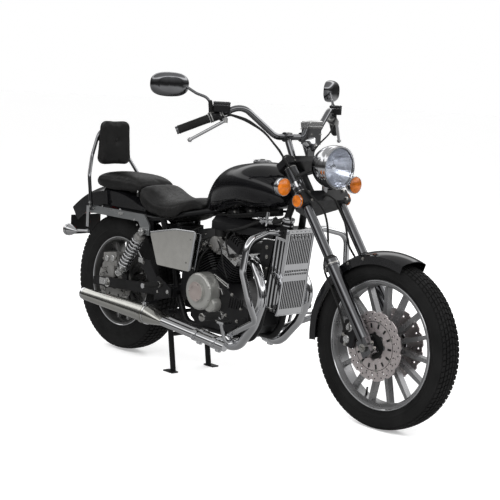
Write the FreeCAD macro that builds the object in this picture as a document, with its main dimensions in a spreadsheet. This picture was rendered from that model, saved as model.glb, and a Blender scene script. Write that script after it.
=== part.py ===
import FreeCAD, Part
import math
import os
import Sketcher

os.makedirs("parts", exist_ok=True)
Vector = FreeCAD.Vector
doc = FreeCAD.newDocument("cruiser_motorcycle")

# Driving sizes in millimetres and degrees, one cell each
SIZES = {
    # whole machine
    "rear_axle_x": -753, "wheelbase": 1560, "rake_angle": 36.5, "steering_offset": 55,
    "fit": 0.3, "slide_fit": 0.2, "overrun": 20,
    # front wheel
    "front_tyre_radius": 316, "front_tyre_width": 104, "front_flange_radius": 242,
    "front_rim_width": 72, "front_hub_radius": 42, "front_hub_length": 117, "front_spokes": 15,
    "front_spoke_width": 17, "front_spoke_depth": 26,
    # rear wheel
    "rear_tyre_radius": 313, "rear_tyre_width": 140, "rear_flange_radius": 204,
    "rear_rim_width": 106, "rear_hub_radius": 56, "rear_hub_length": 154, "rear_spokes": 15,
    "rear_spoke_width": 19, "rear_spoke_depth": 34, "rear_lift": 6,
    # rims and tyres
    "flange_depth": 14, "flange_thickness": 5, "rim_band": 9, "tread_height": 36,
    # discs and calipers
    "disc_thickness": 5, "front_disc_radius": 130, "front_disc_inner": 62, "front_disc_y": 61,
    "disc_hole": 4, "disc_holes": 24, "disc_waves": 12, "disc_wave_depth": 6, "disc_wave": 17,
    "rear_disc_radius": 118, "rear_disc_inner": 56,
    "caliper_gap": 3, "caliper_length": 96, "caliper_height": 56, "caliper_wall": 16,
    "caliper_bridge": 16, "front_caliper_angle": 166, "rear_caliper_angle": 97,
    # axles
    "axle_radius": 9, "axle_bore": 5.5, "axle_head_radius": 15, "axle_head": 9,
    # fork
    "leg_y": 94, "leg_radius": 25, "leg_top": 358, "leg_drop": 26, "leg_socket": 70,
    "leg_collar": 28, "leg_collar_height": 26, "lug_length": 66,
    "stanchion_radius": 18.5, "cap_radius": 23, "cap_height": 17,
    "stem_radius": 14, "lower_clamp_z": 617, "lower_clamp_height": 46, "upper_clamp_z": 782,
    "upper_clamp_height": 26, "clamp_front": 36, "clamp_back": 34, "clamp_side": 34,
    "clamp_waist": 44, "clamp_round": 18, "head_radius": 29, "head_gap": 1,
    # handlebar
    "bar_radius": 12, "bar_clamp_back": 532, "bar_clamp_z": 1042, "bar_clamp_y": 62,
    "bar_shoulder_y": 240, "bar_shoulder_back": 583, "bar_shoulder_z": 1156,
    "bar_half_width": 436, "bar_end_back": 735, "bar_end_z": 1050, "bar_bend": 60,
    "grip_radius": 17, "grip_length": 124, "bar_end": 9, "riser_radius": 13, "riser_y": 45,
    "riser_cap": 19, "riser_width": 30,
    # hand controls and levers
    "perch_radius": 19, "perch_length": 52, "perch_gap": 4, "reservoir_length": 62,
    "reservoir_width": 44, "reservoir_height": 34, "lever_radius": 6, "lever_ball": 9,
    "lever_reach": 52, "lever_tip_y": 409, "lever_tip_back": 684, "lever_tip_z": 1019,
    # mirrors
    "mirror_back": 771, "mirror_y": 445, "mirror_z": 1223, "mirror_half_width": 75,
    "mirror_half_height": 46, "mirror_depth": 30, "mirror_stem": 5.5, "mirror_turn_angle": 26,
    # lamps and instruments
    "lamp_back": 283, "lamp_z": 943, "lamp_radius": 82, "lamp_depth": 122, "lamp_wall": 4,
    "lamp_rim": 12, "lens_dome": 12, "lens_thickness": 4,
    "pod_back": 445, "pod_z": 1064, "pod_length": 50, "pod_width": 68, "pod_height": 88,
    "pod_round": 9, "pod_bracket": 34, "pod_bracket_thickness": 6,
    "signal_back": 379, "signal_y": 196, "signal_z": 865, "signal_radius": 34,
    "signal_depth": 58, "signal_stalk": 8, "signal_ring": 7, "signal_ring_height": 24,
    "reflector_radius": 25, "reflector_thickness": 7,
    # front fender
    "front_fender_radius": 346, "front_fender_depth": 46, "fender_skin": 3,
    "front_fender_start_angle": 70, "front_fender_end_angle": 186,
    # hoses and cables
    "hose_radius": 4, "cable_radius": 3.2, "cable_bend": 200,
    # frame
    "downtube_radius": 14, "rail_radius": 12, "backbone_radius": 21, "cradle_z": 217,
    "cradle_y": 62, "cradle_start_back": 657, "cradle_back_x": -260, "downtube_top_back": 477,
    "downtube_top_z": 834, "downtube_mid_back": 526, "downtube_mid_z": 657, "downtube_mid_y": 55,
    "downtube_low_back": 616, "downtube_low_z": 276, "upright_x": -330, "upright_z": 340,
    "upright_mid_x": -352, "upright_mid_y": 58, "upright_mid_z": 432,
    "upright_top_x": -404, "rail_z": 640, "rail_y": 100, "rail_end_x": -895,
    "rail_start_x": -60, "backbone_x": -150, "backbone_z": 716, "frame_bend": 60,
    "pivot_x": -306, "pivot_z": 345, "pivot_bolt_radius": 9, "pivot_bolt_y": 131,
    # engine
    "crank_x": -93, "crank_z": 350, "cylinder_angle": 27, "case_half_width": 96,
    "case_front_x": 168, "case_back_x": -195, "case_round": 12,
    "deck_distance": 105, "deck_half": 53, "barrel_length": 94, "barrel_half": 46,
    "fin_half": 60, "fin_half_y": 70, "fin_thickness": 4, "fin_pitch": 10.5, "fin_start": 16,
    "head_height": 92, "head_block": 48, "head_half": 56, "head_half_y": 74,
    "head_slot": 6, "head_slot_depth": 20, "gearbox_half_width": 50, "gearbox_back_x": -290,
    "clutch_radius": 78, "clutch_depth": 58, "clutch_round": 14, "clutch_cap_radius": 43,
    "clutch_cap_depth": 9, "clutch_z": 383, "generator_radius": 74, "generator_depth": 40,
    "carburettor_radius": 34, "carburettor_half": 68, "carburettor_z": 577,
    # air box over the engine, and the panels behind the downtubes
    "air_box_low_z": 636, "air_box_height": 56, "air_box_half": 60, "air_box_back_x": -128,
    "air_box_front_back": 563, "panel_low_z": 470, "panel_high_z": 632, "panel_length": 66,
    "panel_inner_y": 44, "panel_thickness": 26,
    # radiator
    "radiator_back": 487, "radiator_z": 513, "radiator_height": 352, "radiator_half_width": 71,
    "radiator_depth": 74, "radiator_angle": 7.7, "grille_depth": 12, "grille_slats": 13,
    "grille_slot": 6, "radiator_cap_radius": 21, "radiator_cap_height": 34,
    # tank
    "tank_front_back": 518.5, "tank_back_x": -184, "tank_half_width": 150, "tank_top_z": 931,
    "tank_bottom_z": 742, "cap_x": 96, "fuel_cap_radius": 33, "fuel_cap_height": 12,
    # seats
    "seat_front_x": -184.5, "seat_back_x": -560, "seat_half_width": 138, "seat_low_z": 628,
    "seat_top_z": 786, "pillion_front_x": -566, "pillion_back_x": -924,
    "pillion_half_width": 116, "pillion_top_z": 812, "pillion_low_z": 716,
    "pad_x": -903, "pad_half_thickness": 23, "pad_half_width": 93, "pad_bottom_z": 833,
    "pad_top_z": 1040, "pad_top_share": 0.84,
    # rear fender
    "rear_fender_x": -790, "rear_fender_z": 235, "rear_fender_radius": 520,
    "rear_fender_depth": 98, "rear_fender_start_angle": 50, "rear_fender_end_angle": 128,
    # struts, sissy bar, tail
    "strut_thickness": 8, "strut_height": 34, "strut_front_x": -456, "strut_back_x": -902,
    "strut_boss": 11, "sissy_radius": 8, "sissy_foot_x": -872, "sissy_knee_z": 790,
    "sissy_knee_x": -896, "sissy_top_z": 1000, "sissy_top_y": 60, "sissy_back_x": -934.5,
    "tail_lamp_radius": 34, "tail_lamp_proud": 13, "plate_width": 168, "plate_height": 92, "plate_thickness": 3,
    "rear_signal_x": -941, "rear_signal_y": 188, "rear_signal_z": 534, "rear_signal_radius": 27,
    "rear_signal_length": 78, "rear_signal_arm": 20,
    # exhaust
    "pipe_radius": 19, "header_low_x": 125, "header_low_y": 114,
    "header_low_z": 182, "header_rise_back": 581, "header_rise_y": 125, "header_rise_z": 292,
    "header_up_back": 524, "header_up_y": 130, "header_up_z": 417, "header_port_x": 214,
    "header_port_y": 116, "header_port_z": 530, "header_bend": 90, "pipe_end_y": 168,
    "pipe_end_z": 236, "pipe_spacing": 38.4, "pipe_end_x": -236, "pipe_clamp": 5,
    "pipe_clamp_width": 18, "silencer_front_x": -236.3, "silencer_back_x": -839,
    "silencer_radius": 41, "silencer_end_radius": 27, "silencer_inlet_radius": 40,
    "silencer_front_z": 243, "silencer_back_z": 259,
    "silencer_bore": 17, "silencer_bore_depth": 90, "hanger_thickness": 5,
    # crash bars
    "crash_radius": 12.5, "crash_reach": 285, "crash_top_z": 652, "crash_bend": 60,
    # foot controls
    "peg_x": 111, "peg_z": 323, "peg_inner_y": 205, "peg_outer_y": 300, "peg_radius": 15,
    "peg_arm_radius": 9, "pedal_x": 205, "pedal_z": 316, "pedal_y": 262, "pedal_radius": 6,
    "pedal_pad": 24, "pillion_peg_x": -352, "pillion_peg_z": 372,
    "pillion_peg_outer_y": 236, "pillion_peg_radius": 11,
    # swingarm and shocks
    "arm_y": 110, "arm_width": 24, "arm_height": 44, "arm_end": 108,
    "brace_x": -398, "brace_radius": 14, "shock_y": 143, "shock_top_x": -482,
    "shock_top_z": 584, "shock_low_x": -636, "shock_low_z": 382, "shock_eye_radius": 17,
    "shock_eye_width": 22, "shock_stud_radius": 8, "shock_rod_radius": 7,
    "shock_body_radius": 20, "spring_radius": 27, "spring_wire": 4.5, "spring_turns": 9,
    "spring_start": 34, "spring_end": 46, "shock_neck_radius": 10, "shock_seat": 7,
    # drive
    "sprocket_x": -246, "sprocket_z": 352, "sprocket_radius": 36, "rear_sprocket_radius": 88,
    "sprocket_thickness": 7, "chain_y": 84, "chain_half_width": 8, "chain_half_height": 6.5,
    "chain_pitch": 16, "tooth_depth": 4,
    # stands
    "stand_pivot_x": -330, "stand_pivot_z": 250, "stand_foot_x": -288, "stand_y": 100,
    "stand_radius": 12, "stand_boss_radius": 15, "stand_pin_radius": 8, "stand_foot_y": 131,
    "stand_foot_length": 62, "stand_foot_thickness": 6, "stand_brace_drop": 92,
    "stand_plate": 8, "side_stand_x": -40, "side_stand_y": 90, "side_stand_z": 186,
    "side_stand_length": 186, "side_stand_radius": 9, "side_stand_boss": 13,
    "side_stand_tilt_angle": 24.8, "side_stand_foot": 20,
    # side covers
    "cover_y": 150, "cover_thickness": 3, "cover_front_x": -112, "cover_back_x": -420,
    "cover_top_z": 622, "cover_bottom_z": 456, "box_front_x": -318, 
}

sheet = doc.addObject("Spreadsheet::Sheet", "Sizes")
for row, (alias, value) in enumerate(SIZES.items(), 1):
    sheet.set("A%d" % row, alias)
    sheet.set("B%d" % row, repr(value))
    sheet.setAlias("B%d" % row, alias)
doc.recompute()


# A size carries its number and the expression that gives it
class Size:
    def __init__(self, value, text):
        self.value = value
        self.text = text

    def combine(self, value, sign, first, second):
        return Size(value, "(%s %s %s)" % (first.text, sign, second.text))

    def __add__(self, other):
        other = as_size(other)
        return self.combine(self.value + other.value, "+", self, other)

    def __sub__(self, other):
        other = as_size(other)
        return self.combine(self.value - other.value, "-", self, other)

    def __mul__(self, other):
        other = as_size(other)
        return self.combine(self.value * other.value, "*", self, other)

    def __truediv__(self, other):
        other = as_size(other)
        return self.combine(self.value / other.value, "/", self, other)

    def __rsub__(self, other):
        return as_size(other) - self

    def __neg__(self):
        return Size(-self.value, "(0 - %s)" % self.text)

    def __float__(self):
        return float(self.value)

    __radd__ = __add__
    __rmul__ = __mul__


def as_size(item):
    if isinstance(item, Size):
        return item
    return Size(float(item), "(%r)" % float(item))


def sine(angle):
    return Size(math.sin(math.radians(angle.value)), "sin(%s * 1 deg)" % angle.text)


def cosine(angle):
    return Size(math.cos(math.radians(angle.value)), "cos(%s * 1 deg)" % angle.text)


class Sizes:
    def __getattr__(self, alias):
        return Size(float(sheet.get(alias)), "Sizes." + alias)


S = Sizes()
NODES = []


# Document helpers
def bind(item, prop, size):
    item.setExpression(prop, as_size(size).text)


def place(item, at, axis=None, angle=None):
    if axis is not None:
        item.Placement = FreeCAD.Placement(Vector(0, 0, 0), Vector(*axis), float(angle))
        for part_name, share in zip("xyz", axis):
            bind(item, "Placement.Rotation.Axis." + part_name, share)
        bind(item, "Placement.Rotation.Angle", angle)
    for part_name, value in zip("xyz", at):
        bind(item, "Placement.Base." + part_name, value)
    return item


def node(item, label):
    item.Label = label
    NODES.append(item)
    return item


def body(name):
    return doc.addObject("PartDesign::Body", name)


def origin_part(owner, role):
    return [f for f in owner.Origin.OriginFeatures if f.Role == role][0]


def new_sketch(owner, name, plane, lift):
    sketch = owner.newObject("Sketcher::SketchObject", name)
    sketch.AttachmentSupport = (origin_part(owner, plane), [""])
    sketch.MapMode = "FlatFace"
    bind(sketch, "AttachmentOffset.Base.z", lift)
    return sketch


def fix(sketch, kind, where, size):
    index = sketch.addConstraint(Sketcher.Constraint(kind, *where, float(size)))
    if isinstance(size, Size):
        sketch.setExpression("Constraints[%d]" % index, size.text)


def arc_middle(start, end, radius, side):
    middle = (start + end) * 0.5
    half = (end - start).Length / 2
    across = Vector(start.y - end.y, end.x - start.x, 0).normalize() * side
    return middle + across * (radius - math.sqrt(radius * radius - half * half))


# Closed outline: points in plane coordinates, arcs as {edge: (radius, side)}
def outline(owner, name, plane, points, arcs=None, lift=0):
    sketch = new_sketch(owner, name, plane, lift)
    arcs = arcs or {}
    count = len(points)
    spots = [Vector(float(x), float(y), 0) for x, y in points]
    for i in range(count):
        start = spots[i]
        end = spots[(i + 1) % count]
        if i in arcs:
            radius, side = arcs[i]
            middle = arc_middle(start, end, float(radius), side)
            sketch.addGeometry(Part.Arc(start, middle, end), False)
        else:
            sketch.addGeometry(Part.LineSegment(start, end), False)
    # an arc through three points may start at either end
    firsts = []
    for i in range(count):
        begins = (sketch.getPoint(i, 1) - spots[i]).Length < (sketch.getPoint(i, 2) - spots[i]).Length
        firsts.append(begins)
    for i in range(count):
        following = (i + 1) % count
        out = 2 if firsts[i] else 1
        into = 1 if firsts[following] else 2
        sketch.addConstraint(Sketcher.Constraint("Coincident", i, out, following, into))
    for i, (x, y) in enumerate(points):
        corner = 1 if firsts[i] else 2
        fix(sketch, "DistanceX", (-1, 1, i, corner), x)
        fix(sketch, "DistanceY", (-1, 1, i, corner), y)
    for i, (radius, side) in arcs.items():
        fix(sketch, "Radius", (i,), radius)
    return sketch


def circles(owner, name, plane, rounds, lift=0):
    sketch = new_sketch(owner, name, plane, lift)
    for i, (x, y, radius) in enumerate(rounds):
        centre = Vector(float(x), float(y), 0)
        sketch.addGeometry(Part.Circle(centre, Vector(0, 0, 1), float(radius)), False)
        fix(sketch, "DistanceX", (-1, 1, i, 3), x)
        fix(sketch, "DistanceY", (-1, 1, i, 3), y)
        fix(sketch, "Radius", (i,), radius)
    return sketch


def pad(owner, sketch, length, both=False, back=False):
    feature = owner.newObject("PartDesign::Pad", sketch.Name + "_pad")
    feature.Profile = sketch
    if both:
        feature.SideType = "Symmetric"
    feature.Reversed = back
    bind(feature, "Length", length)
    sketch.Visibility = False
    return feature


def pocket(owner, sketch, length, both=False, back=False):
    feature = owner.newObject("PartDesign::Pocket", sketch.Name + "_pocket")
    feature.Profile = sketch
    if both:
        feature.SideType = "Symmetric"
    feature.Reversed = back
    bind(feature, "Length", length)
    return feature


def spin(owner, sketch, axis, angle=360):
    feature = owner.newObject("PartDesign::Revolution", sketch.Name + "_spin")
    feature.Profile = sketch
    feature.ReferenceAxis = (origin_part(owner, axis), [""])
    bind(feature, "Angle", angle)
    return feature


def ring_of(owner, feature, axis, count):
    pattern = owner.newObject("PartDesign::PolarPattern", feature.Name + "_ring")
    pattern.Originals = [feature]
    pattern.Axis = (origin_part(owner, axis), [""])
    pattern.Angle = 360
    bind(pattern, "Occurrences", count)
    owner.Tip = pattern
    return pattern


def row_of(owner, feature, axis, pitch, count):
    pattern = owner.newObject("PartDesign::LinearPattern", feature.Name + "_row")
    pattern.Originals = [feature]
    pattern.Direction = (origin_part(owner, axis), [""])
    bind(pattern, "Length", pitch * (count - 1))
    pattern.Occurrences = count
    owner.Tip = pattern
    return pattern


def cylinder(name, radius, length, at, axis=(0, 0, 1)):
    item = doc.addObject("Part::Cylinder", name)
    bind(item, "Radius", radius)
    bind(item, "Height", length)
    turn = FreeCAD.Rotation(Vector(0, 0, 1), Vector(*[float(a) for a in axis]))
    item.Placement = FreeCAD.Placement(Vector(0, 0, 0), turn)
    return place(item, at)


def box(name, size, centre):
    item = doc.addObject("Part::Box", name)
    for prop, value in zip(("Length", "Width", "Height"), size):
        bind(item, prop, value)
    return place(item, [c - as_size(v) / 2 for c, v in zip(centre, size)])


def fuse(name, items):
    item = doc.addObject("Part::MultiFuse", name)
    item.Shapes = items
    item.Refine = True
    return item


def cut(name, base, tool):
    item = doc.addObject("Part::Cut", name)
    item.Base = base
    item.Tool = tool
    return item


def mirrored(name, item):
    other = doc.addObject("Part::Mirroring", name)
    other.Source = item
    other.Normal = Vector(0, 1, 0)
    return other


def group(name, items):
    item = doc.addObject("Part::Compound", name)
    item.Links = items
    return item


def both_sides(label, item):
    return node(group(label + "_pair", [item, mirrored(label + "_left", item)]), label)


def feature(name, shape):
    item = doc.addObject("Part::Feature", name)
    item.Shape = shape
    return item


# Shape helpers for bent tubes and lofts
def spot(point):
    return Vector(*[float(as_size(p)) for p in point])


def flip(point):
    return (point[0], -as_size(point[1]), point[2])


def bent_wire(points, bend):
    spots = [spot(p) for p in points]
    edges = []
    start = spots[0]
    for i in range(1, len(spots) - 1):
        back = spots[i - 1] - spots[i]
        ahead = spots[i + 1] - spots[i]
        turn = math.pi - back.getAngle(ahead)
        shorter = min(back.Length, ahead.Length)
        radius = min(float(bend), 0.45 * shorter / math.tan(turn / 2))
        reach = radius * math.tan(turn / 2)
        back.normalize()
        ahead.normalize()
        inward = (back + ahead).normalize()
        centre = spots[i] + inward * (radius / math.cos(turn / 2))
        first = spots[i] + back * reach
        last = spots[i] + ahead * reach
        edges.append(Part.makeLine(start, first))
        edges.append(Part.Arc(first, centre - inward * radius, last).toShape())
        start = last
    edges.append(Part.makeLine(start, spots[-1]))
    return Part.Wire(edges)


def tube(points, radius, bend):
    wire = bent_wire(points, bend)
    first = wire.Edges[0]
    start = first.Vertexes[0].Point
    along = first.Vertexes[1].Point - start
    ring = Part.Wire([Part.makeCircle(float(radius), start, along)])
    return wire.makePipeShell([ring], True, False)


def rod(start, end, radius):
    start = spot(start)
    along = spot(end) - start
    return Part.makeCylinder(float(radius), along.Length, start, along)


def block(size, centre):
    size = spot(size)
    return Part.makeBox(size.x, size.y, size.z, spot(centre) - size * 0.5)


def joined(shapes):
    first = shapes[0]
    return first.fuse(shapes[1:]).removeSplitter() if len(shapes) > 1 else first


def other_side(shape):
    return shape.mirror(Vector(0, 0, 0), Vector(0, 1, 0))


def pair(shape):
    return Part.makeCompound([shape, other_side(shape)])


def curve_through(points):
    curve = Part.BSplineCurve()
    curve.interpolate(points, PeriodicFlag=True)
    return Part.Wire([curve.toShape()])


# Rounded section across the machine at x: flat-bottomed when the low power is high
def section(x, half_width, low, high, power_share=0.75, count=14):
    x, half_width, low, high = [float(as_size(v)) for v in (x, half_width, low, high)]
    middle = (low + high) / 2
    half = (high - low) / 2
    points = []
    for i in range(count):
        angle = 2 * math.pi * i / count
        across = math.copysign(abs(math.cos(angle)) ** power_share, math.cos(angle))
        up = math.copysign(abs(math.sin(angle)) ** power_share, math.sin(angle))
        points.append(Vector(x, half_width * across, middle + half * up))
    return curve_through(points)


# Driving places worked out from the sizes
REAR_X = S.rear_axle_x
FRONT_X = REAR_X + S.wheelbase
LAMP_X = FRONT_X - S.lamp_back
POD_X = FRONT_X - S.pod_back
SIGNAL_X = FRONT_X - S.signal_back
BAR_CLAMP_X = FRONT_X - S.bar_clamp_back
BAR_SHOULDER_X = FRONT_X - S.bar_shoulder_back
BAR_END_X = FRONT_X - S.bar_end_back
MIRROR_X = FRONT_X - S.mirror_back
DOWNTUBE_TOP_X = FRONT_X - S.downtube_top_back
DOWNTUBE_MID_X = FRONT_X - S.downtube_mid_back
DOWNTUBE_LOW_X = FRONT_X - S.downtube_low_back
CRADLE_START_X = FRONT_X - S.cradle_start_back
RADIATOR_X = FRONT_X - S.radiator_back
HEADER_UP_X = FRONT_X - S.header_up_back
HEADER_RISE_X = FRONT_X - S.header_rise_back
TANK_FRONT_X = FRONT_X - S.tank_front_back
LEVER_TIP_X = FRONT_X - S.lever_tip_back
AIR_BOX_FRONT_X = FRONT_X - S.air_box_front_back
FRONT_Z = S.front_tyre_radius
REAR_Z = S.rear_tyre_radius + S.rear_lift
FORK_X = FRONT_X - S.steering_offset * cosine(S.rake_angle)
FORK_Z = FRONT_Z - S.steering_offset * sine(S.rake_angle)


def on_fork(forward, side, up):
    x = FORK_X + forward * cosine(S.rake_angle) - up * sine(S.rake_angle)
    z = FORK_Z + forward * sine(S.rake_angle) + up * cosine(S.rake_angle)
    return (x, side, z)


def set_on_fork(item, at=(0, 0, 0)):
    return place(item, on_fork(*[as_size(a) for a in at]), (0, 1, 0), -S.rake_angle)


# Wheels
def tyre(label, radius, width, flange, rim_width, at):
    owner = body(label)
    seat = flange - S.flange_depth
    inner = rim_width / 2 - S.flange_thickness - S.fit
    shoulder = radius - S.tread_height
    half = width / 2
    crown = (half * half + S.tread_height * S.tread_height) / (S.tread_height * 2)
    wall = (shoulder - flange) * 1.4
    points = [(-inner, seat + S.fit), (-inner, flange), (-rim_width / 2, flange + S.fit),
              (-half, shoulder), (half, shoulder), (rim_width / 2, flange + S.fit),
              (inner, flange), (inner, seat + S.fit)]
    arcs = {2: (wall, 1), 3: (crown, 1), 4: (wall, 1)}
    spin(owner, outline(owner, label + "_profile", "YZ_Plane", points, arcs), "Y_Axis")
    return node(place(owner, at), label)


def rim(label, flange, rim_width, hub_radius, hub_length, spokes, spoke_width, spoke_depth, at):
    owner = body(label)
    seat = flange - S.flange_depth
    half = rim_width / 2
    inner = half - S.flange_thickness
    low = seat - S.rim_band
    points = [(-half, flange), (-half, seat), (-half * 0.62, low), (half * 0.62, low), (half, seat),
              (half, flange), (inner, flange), (inner, seat), (-inner, seat), (-inner, flange)]
    spin(owner, outline(owner, label + "_band", "YZ_Plane", points), "Y_Axis")
    bore = S.axle_radius + S.slide_fit
    hub = [(-hub_length / 2, bore), (-hub_length / 2, hub_radius * 0.78), (-hub_length * 0.3, hub_radius),
           (hub_length * 0.3, hub_radius), (hub_length / 2, hub_radius * 0.78), (hub_length / 2, bore)]
    spin(owner, outline(owner, label + "_hub", "YZ_Plane", hub), "Y_Axis")
    root = hub_radius * 0.9
    spoke = [(-spoke_width * 0.65, root), (spoke_width * 0.65, root),
             (spoke_width * 0.42, low + S.rim_band * 0.4), (-spoke_width * 0.42, low + S.rim_band * 0.4)]
    arm = pad(owner, outline(owner, label + "_spoke", "XZ_Plane", spoke), spoke_depth, both=True)
    ring_of(owner, arm, "Y_Axis", spokes)
    return node(place(owner, at), label)


def disc(owner, name, radius, inner, lift):
    ring = circles(owner, name + "_ring", "XZ_Plane", [(0, 0, radius), (0, 0, inner)], lift)
    plate = pad(owner, ring, S.disc_thickness)
    hole_circle = inner + (radius - inner) * 0.68
    far = S.disc_thickness + S.overrun
    hole = circles(owner, name + "_hole", "XZ_Plane", [(0, hole_circle, S.disc_hole)], lift - S.overrun / 2)
    drilled = pocket(owner, hole, far, back=True)
    ring_of(owner, drilled, "Y_Axis", S.disc_holes)
    wave_at = radius + S.disc_wave - S.disc_wave_depth
    wave = circles(owner, name + "_wave", "XZ_Plane", [(0, wave_at, S.disc_wave)], lift - S.overrun / 2)
    notched = pocket(owner, wave, far, back=True)
    ring_of(owner, notched, "Y_Axis", S.disc_waves)
    return plate


def front_discs():
    owner = body("front_discs")
    right = S.front_disc_y - S.disc_thickness / 2
    disc(owner, "front_disc", S.front_disc_radius, S.front_disc_inner, right)
    carrier = [(0, 0, S.front_disc_inner + S.disc_wave_depth), (0, 0, S.axle_radius * 1.6)]
    pad(owner, circles(owner, "front_carrier", "XZ_Plane", carrier, right), S.disc_thickness)
    slot_at = S.front_disc_inner * 0.72
    slot = circles(owner, "front_slot", "XZ_Plane", [(0, slot_at, S.front_disc_inner * 0.16)],
                   right - S.overrun / 2)
    ring_of(owner, pocket(owner, slot, S.disc_thickness + S.overrun, back=True), "Y_Axis", 8)
    place(owner, (FRONT_X, 0, FRONT_Z))
    return both_sides("front_brake_discs", owner)


def rear_disc():
    owner = body("rear_disc")
    inner_face = S.rear_hub_length / 2 + S.fit
    disc(owner, "rear_disc_plate", S.rear_disc_radius, S.rear_disc_inner, inner_face)
    carrier = [(0, 0, S.rear_disc_inner + S.disc_wave_depth), (0, 0, S.axle_radius * 1.6)]
    pad(owner, circles(owner, "rear_carrier", "XZ_Plane", carrier, inner_face), S.disc_thickness)
    return node(place(owner, (REAR_X, 0, REAR_Z)), "rear_brake_disc")


def front_axle():
    half = S.leg_y + S.leg_radius + S.fit
    end = half + S.axle_head
    bore = S.axle_bore
    points = [(-end, bore), (-end, S.axle_head_radius), (-half, S.axle_head_radius), (-half, S.axle_radius),
              (half, S.axle_radius), (half, S.axle_head_radius), (end, S.axle_head_radius), (end, bore)]
    owner = body("front_axle")
    spin(owner, outline(owner, "front_axle_profile", "YZ_Plane", points), "Y_Axis")
    return node(place(owner, (FRONT_X, 0, FRONT_Z)), "front_axle")


def rear_axle():
    half = S.arm_y + S.arm_width / 2 + S.fit
    end = half + S.axle_head
    bore = S.axle_bore
    sleeve = S.arm_y - S.arm_width / 2 - S.fit
    hub = S.rear_hub_length / 2 + S.disc_thickness + S.fit * 2 + S.axle_bore
    points = [(-end, bore), (-end, S.axle_head_radius), (-half, S.axle_head_radius), (-half, S.axle_radius),
              (-sleeve, S.axle_radius), (-sleeve, S.axle_head_radius), (-hub, S.axle_head_radius),
              (-hub, S.axle_radius), (hub, S.axle_radius), (hub, S.axle_head_radius),
              (sleeve, S.axle_head_radius), (sleeve, S.axle_radius),
              (half, S.axle_radius), (half, S.axle_head_radius), (end, S.axle_head_radius), (end, bore)]
    owner = body("rear_axle")
    spin(owner, outline(owner, "rear_axle_profile", "YZ_Plane", points), "Y_Axis")
    return node(place(owner, (REAR_X, 0, REAR_Z)), "rear_axle")


# Fork, carried on the steering axis
def fork_legs():
    along = (S.steering_offset, -S.leg_y, 0)
    shaft = cylinder("leg_shaft", S.leg_radius, S.leg_top + S.leg_drop, (along[0], along[1], -S.leg_drop))
    collar = cylinder("leg_collar", S.leg_collar, S.leg_collar_height,
                      (along[0], along[1], S.leg_top - S.leg_collar_height))
    lug = box("leg_lug", (S.leg_radius * 1.9, S.leg_radius * 1.96, S.lug_length), along)
    socket = cylinder("leg_socket", S.stanchion_radius + S.slide_fit, S.leg_socket + S.overrun,
                      (along[0], along[1], S.leg_top - S.leg_socket))
    hole = cylinder("axle_hole", S.axle_radius + S.slide_fit, S.leg_radius * 4,
                    (along[0], along[1] - S.leg_radius * 2, 0), (0, 1, 0))
    leg = cut("fork_leg", fuse("leg_outside", [shaft, collar, lug]), fuse("leg_bores", [socket, hole]))
    return both_sides("fork_legs", set_on_fork(leg))


def fork_stanchions():
    owner = body("fork_stanchion")
    low = S.leg_top - S.leg_socket + S.fit
    seat = S.upper_clamp_z + S.upper_clamp_height / 2 + S.fit
    middle = seat + S.cap_height * 0.4
    crown = S.cap_radius * 0.15
    points = [(0, low), (S.stanchion_radius, low), (S.stanchion_radius, seat), (S.cap_radius, seat),
              (S.cap_radius, middle), (crown, seat + S.cap_height), (0, seat + S.cap_height)]
    arcs = {4: (S.cap_radius * 1.4, -1)}
    spin(owner, outline(owner, "stanchion_profile", "XZ_Plane", points, arcs), "Z_Axis")
    set_on_fork(owner, (S.steering_offset, -S.leg_y, 0))
    return both_sides("fork_stanchions", owner)


def round_upright_edges(owner, base, radius, name, along=Vector(0, 0, 1)):
    doc.recompute()
    names = []
    for i, edge in enumerate(base.Shape.Edges, 1):
        if edge.Curve.TypeId == "Part::GeomLine" and abs(edge.Curve.Direction.dot(along)) > 0.999:
            names.append("Edge%d" % i)
    rounded = owner.newObject("PartDesign::Fillet", name)
    rounded.Base = (base, names)
    bind(rounded, "Radius", radius)
    return rounded


def triple_clamps():
    owner = body("triple_clamps")
    back = S.clamp_waist * 0.65
    wide = S.leg_y + S.clamp_side
    rear = S.steering_offset - S.clamp_side
    front = S.steering_offset + S.clamp_front
    points = [(-S.clamp_back, -back), (rear, -wide), (front, -wide), (front, wide), (rear, wide),
              (-S.clamp_back, back)]
    low = S.lower_clamp_z - S.lower_clamp_height / 2
    high = S.upper_clamp_z - S.upper_clamp_height / 2
    pad(owner, outline(owner, "lower_clamp", "XY_Plane", points, lift=low), S.lower_clamp_height)
    plates = pad(owner, outline(owner, "upper_clamp", "XY_Plane", points, lift=high), S.upper_clamp_height)
    round_upright_edges(owner, plates, S.clamp_round, "clamp_corners")
    stem = circles(owner, "stem", "XY_Plane", [(0, 0, S.stem_radius)], S.lower_clamp_z)
    pad(owner, stem, S.upper_clamp_z - S.lower_clamp_z)
    bore = S.stanchion_radius + S.slide_fit
    holes = circles(owner, "clamp_holes", "XY_Plane",
                    [(S.steering_offset, -S.leg_y, bore), (S.steering_offset, S.leg_y, bore)])
    pocket(owner, holes, S.upper_clamp_z + S.overrun * 2, back=True)
    return node(set_on_fork(owner), "triple_clamps")


def fork_placement():
    at = Vector(float(FORK_X), 0, float(FORK_Z))
    return FreeCAD.Placement(at, FreeCAD.Rotation(Vector(0, 1, 0), -float(S.rake_angle)))


def on_fork_shape(shape):
    shape.Placement = fork_placement().multiply(shape.Placement)
    return shape


def clamp_cutter(height, centre_z):
    size = (S.steering_offset + S.clamp_front + S.clamp_back + S.fit * 2,
            (S.leg_y + S.clamp_side) * 2 + S.fit * 2, height + S.fit * 2)
    forward = (S.steering_offset + S.clamp_front - S.clamp_back) / 2
    return on_fork_shape(block(size, (forward, 0, centre_z)))


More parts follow.
